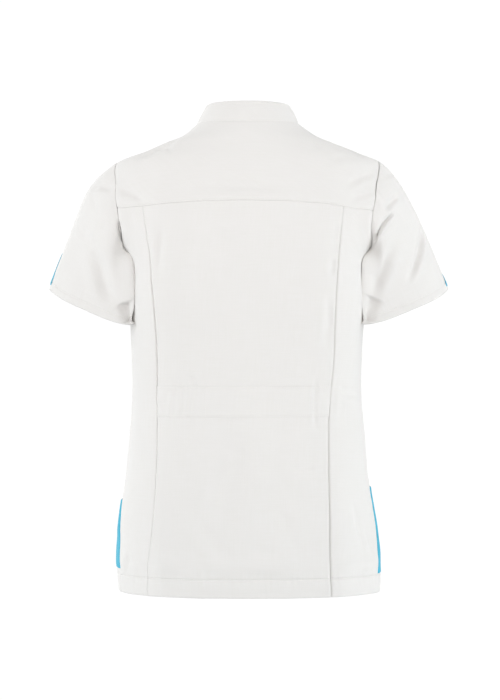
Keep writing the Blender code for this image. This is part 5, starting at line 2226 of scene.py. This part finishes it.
@dataclass(frozen=True)
class Studio:
    """A small pale floor in a soft white studio, with the camera behind the tunic.

    The studio is white beyond the tunic. On the camera's side it is dimmer, and dimmer below than above, so
    that the softboxes at both sides model the folds.
    """

    floor_z: float = -1.15
    floor_radius: float = 1.45
    floor_steps: int = 128
    camera: Vector3 = (-0.0038, 3.07, -0.342)
    lens: float = 103.2
    beyond: float = 1.03
    below: float = 0.60
    above: float = 0.78
    softboxes: tuple[Softbox, ...] = (
        Softbox("softbox_left", (3.0, 1.2, 0.4), 1.2, 2.0, "#F8FCFF", 41.0),
        Softbox("softbox_right", (-3.0, 1.15, 0.05), 1.2, 2.0, "#F5FBFF", 42.7),
        Softbox("softbox_key", (0.0, 3.5, 0.5), 0.9, 0.9, "#FFF4F1", 1.2, (0.0, 0.0, 0.0), 34.0),
        Softbox("softbox_front", (2.1, -2.8, 0.8), 1.5, 1.8, "#FFFFFF", 34.0),
    )

    def build(self, palette: Palette) -> None:
        """Sets up the studio.

        Args:
            palette: the finishes.
        """
        scene = bpy.context.scene
        self.lay_floor(palette.floor)
        self.light_world(scene)
        for softbox in self.softboxes:
            self.hang(softbox, scene)
        view = bpy.data.cameras.new("camera")
        view.lens, view.sensor_width = self.lens, 36.0
        camera = bpy.data.objects.new("camera", view)
        camera.location = self.camera
        camera.rotation_euler = (math.pi / 2, 0.0, math.pi)
        scene.collection.objects.link(camera)
        scene.camera = camera
        scene.view_settings.view_transform = "Standard"

    def lay_floor(self, paint: bpy.types.Material) -> None:
        """Lays the floor, a disc.

        Args:
            paint: its finish.
        """
        turns = np.linspace(0.0, 2 * math.pi, self.floor_steps, endpoint=False)
        radius = self.floor_radius
        ring = [(radius * math.cos(a), radius * math.sin(a), self.floor_z) for a in turns]
        mesh = bpy.data.meshes.new("studio_floor")
        mesh.from_pydata(ring, [], [tuple(range(self.floor_steps))])
        mesh.materials.append(paint)
        link("studio_floor", mesh)

    def hang(self, softbox: Softbox, scene: bpy.types.Scene) -> None:
        """Hangs a softbox.

        Args:
            softbox: the softbox.
            scene: the scene.
        """
        lamp = bpy.data.lights.new(softbox.name, "AREA")
        lamp.shape, lamp.size, lamp.size_y = "RECTANGLE", softbox.width, softbox.height
        lamp.energy, lamp.color = softbox.power, linear(softbox.colour)[:3]
        lamp.spread = math.radians(softbox.spread)
        obj = bpy.data.objects.new(softbox.name, lamp)
        obj.location = softbox.place
        way = Vector(softbox.aim) - Vector(softbox.place)
        obj.rotation_euler = way.to_track_quat("-Z", "Y").to_euler()
        scene.collection.objects.link(obj)

    def light_world(self, scene: bpy.types.Scene) -> None:
        """Gives the scene its world, whose brightness follows the direction alone.

        Args:
            scene: the scene.
        """
        world = bpy.data.worlds.new("white_studio")
        world.use_nodes = True
        scene.world = world
        tree = world.node_tree
        tree.nodes.clear()
        way = add_node(tree, "ShaderNodeTexCoord")["Generated"]
        parts = add_node(tree, "ShaderNodeSeparateXYZ", Vector=way)
        soft = {"interpolation_type": "SMOOTHSTEP"}
        levels = {"From_Min": -0.6, "From_Max": 0.6, "To_Min": self.below, "To_Max": self.above}
        near = add_node(tree, "ShaderNodeMapRange", soft, Value=parts["Z"], **levels)["Result"]
        limits = {"From_Min": -0.5, "From_Max": -0.93}
        far = add_node(tree, "ShaderNodeMapRange", soft, Value=parts["Y"], **limits)["Result"]
        mix = {"i0": far, "i2": near, "i3": self.beyond}
        strength = add_node(tree, "ShaderNodeMix", {"data_type": "FLOAT"}, **mix)[0]
        light = {"Color": linear("#FFFFFF"), "Strength": strength}
        background = add_node(tree, "ShaderNodeBackground", **light)[0]
        add_node(tree, "ShaderNodeOutputWorld", Surface=background)


def main() -> None:
    """Builds the tunic piece by piece round its frame."""
    logging.basicConfig(level=logging.INFO, format="%(message)s")
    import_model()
    palette, body = Palette(), BodyForm()
    white = Stitching("stitches_white", Slot.WHITE, seed=7)
    blue = Stitching("stitches_blue", Slot.BLUE, seed=8)
    work: dict[str, Any] = {"body": body, "white": white, "blue": blue}
    makers: list[ClothPiece] = [Yoke(**work), BackCentre(**work), HalfBelt(**work), Collar(**work)]
    for side in (LEFT, RIGHT):
        form = SleeveForm(creases=SLEEVE_CREASES[side], seed=20 + side, side=side, body=body)
        makers += [kind(side=side, **work) for kind in (BackSide, Front, Pocket)]
        makers += [kind(side=side, form=form, **work) for kind in (Sleeve, SleeveInsert)]
    for piece in [maker.piece() for maker in makers]:
        piece.make(palette)
    white.make(palette)
    blue.make(palette)
    PressStuds(body).make(palette)
    Studio().build(palette)


if __name__ == "__main__":
    main()
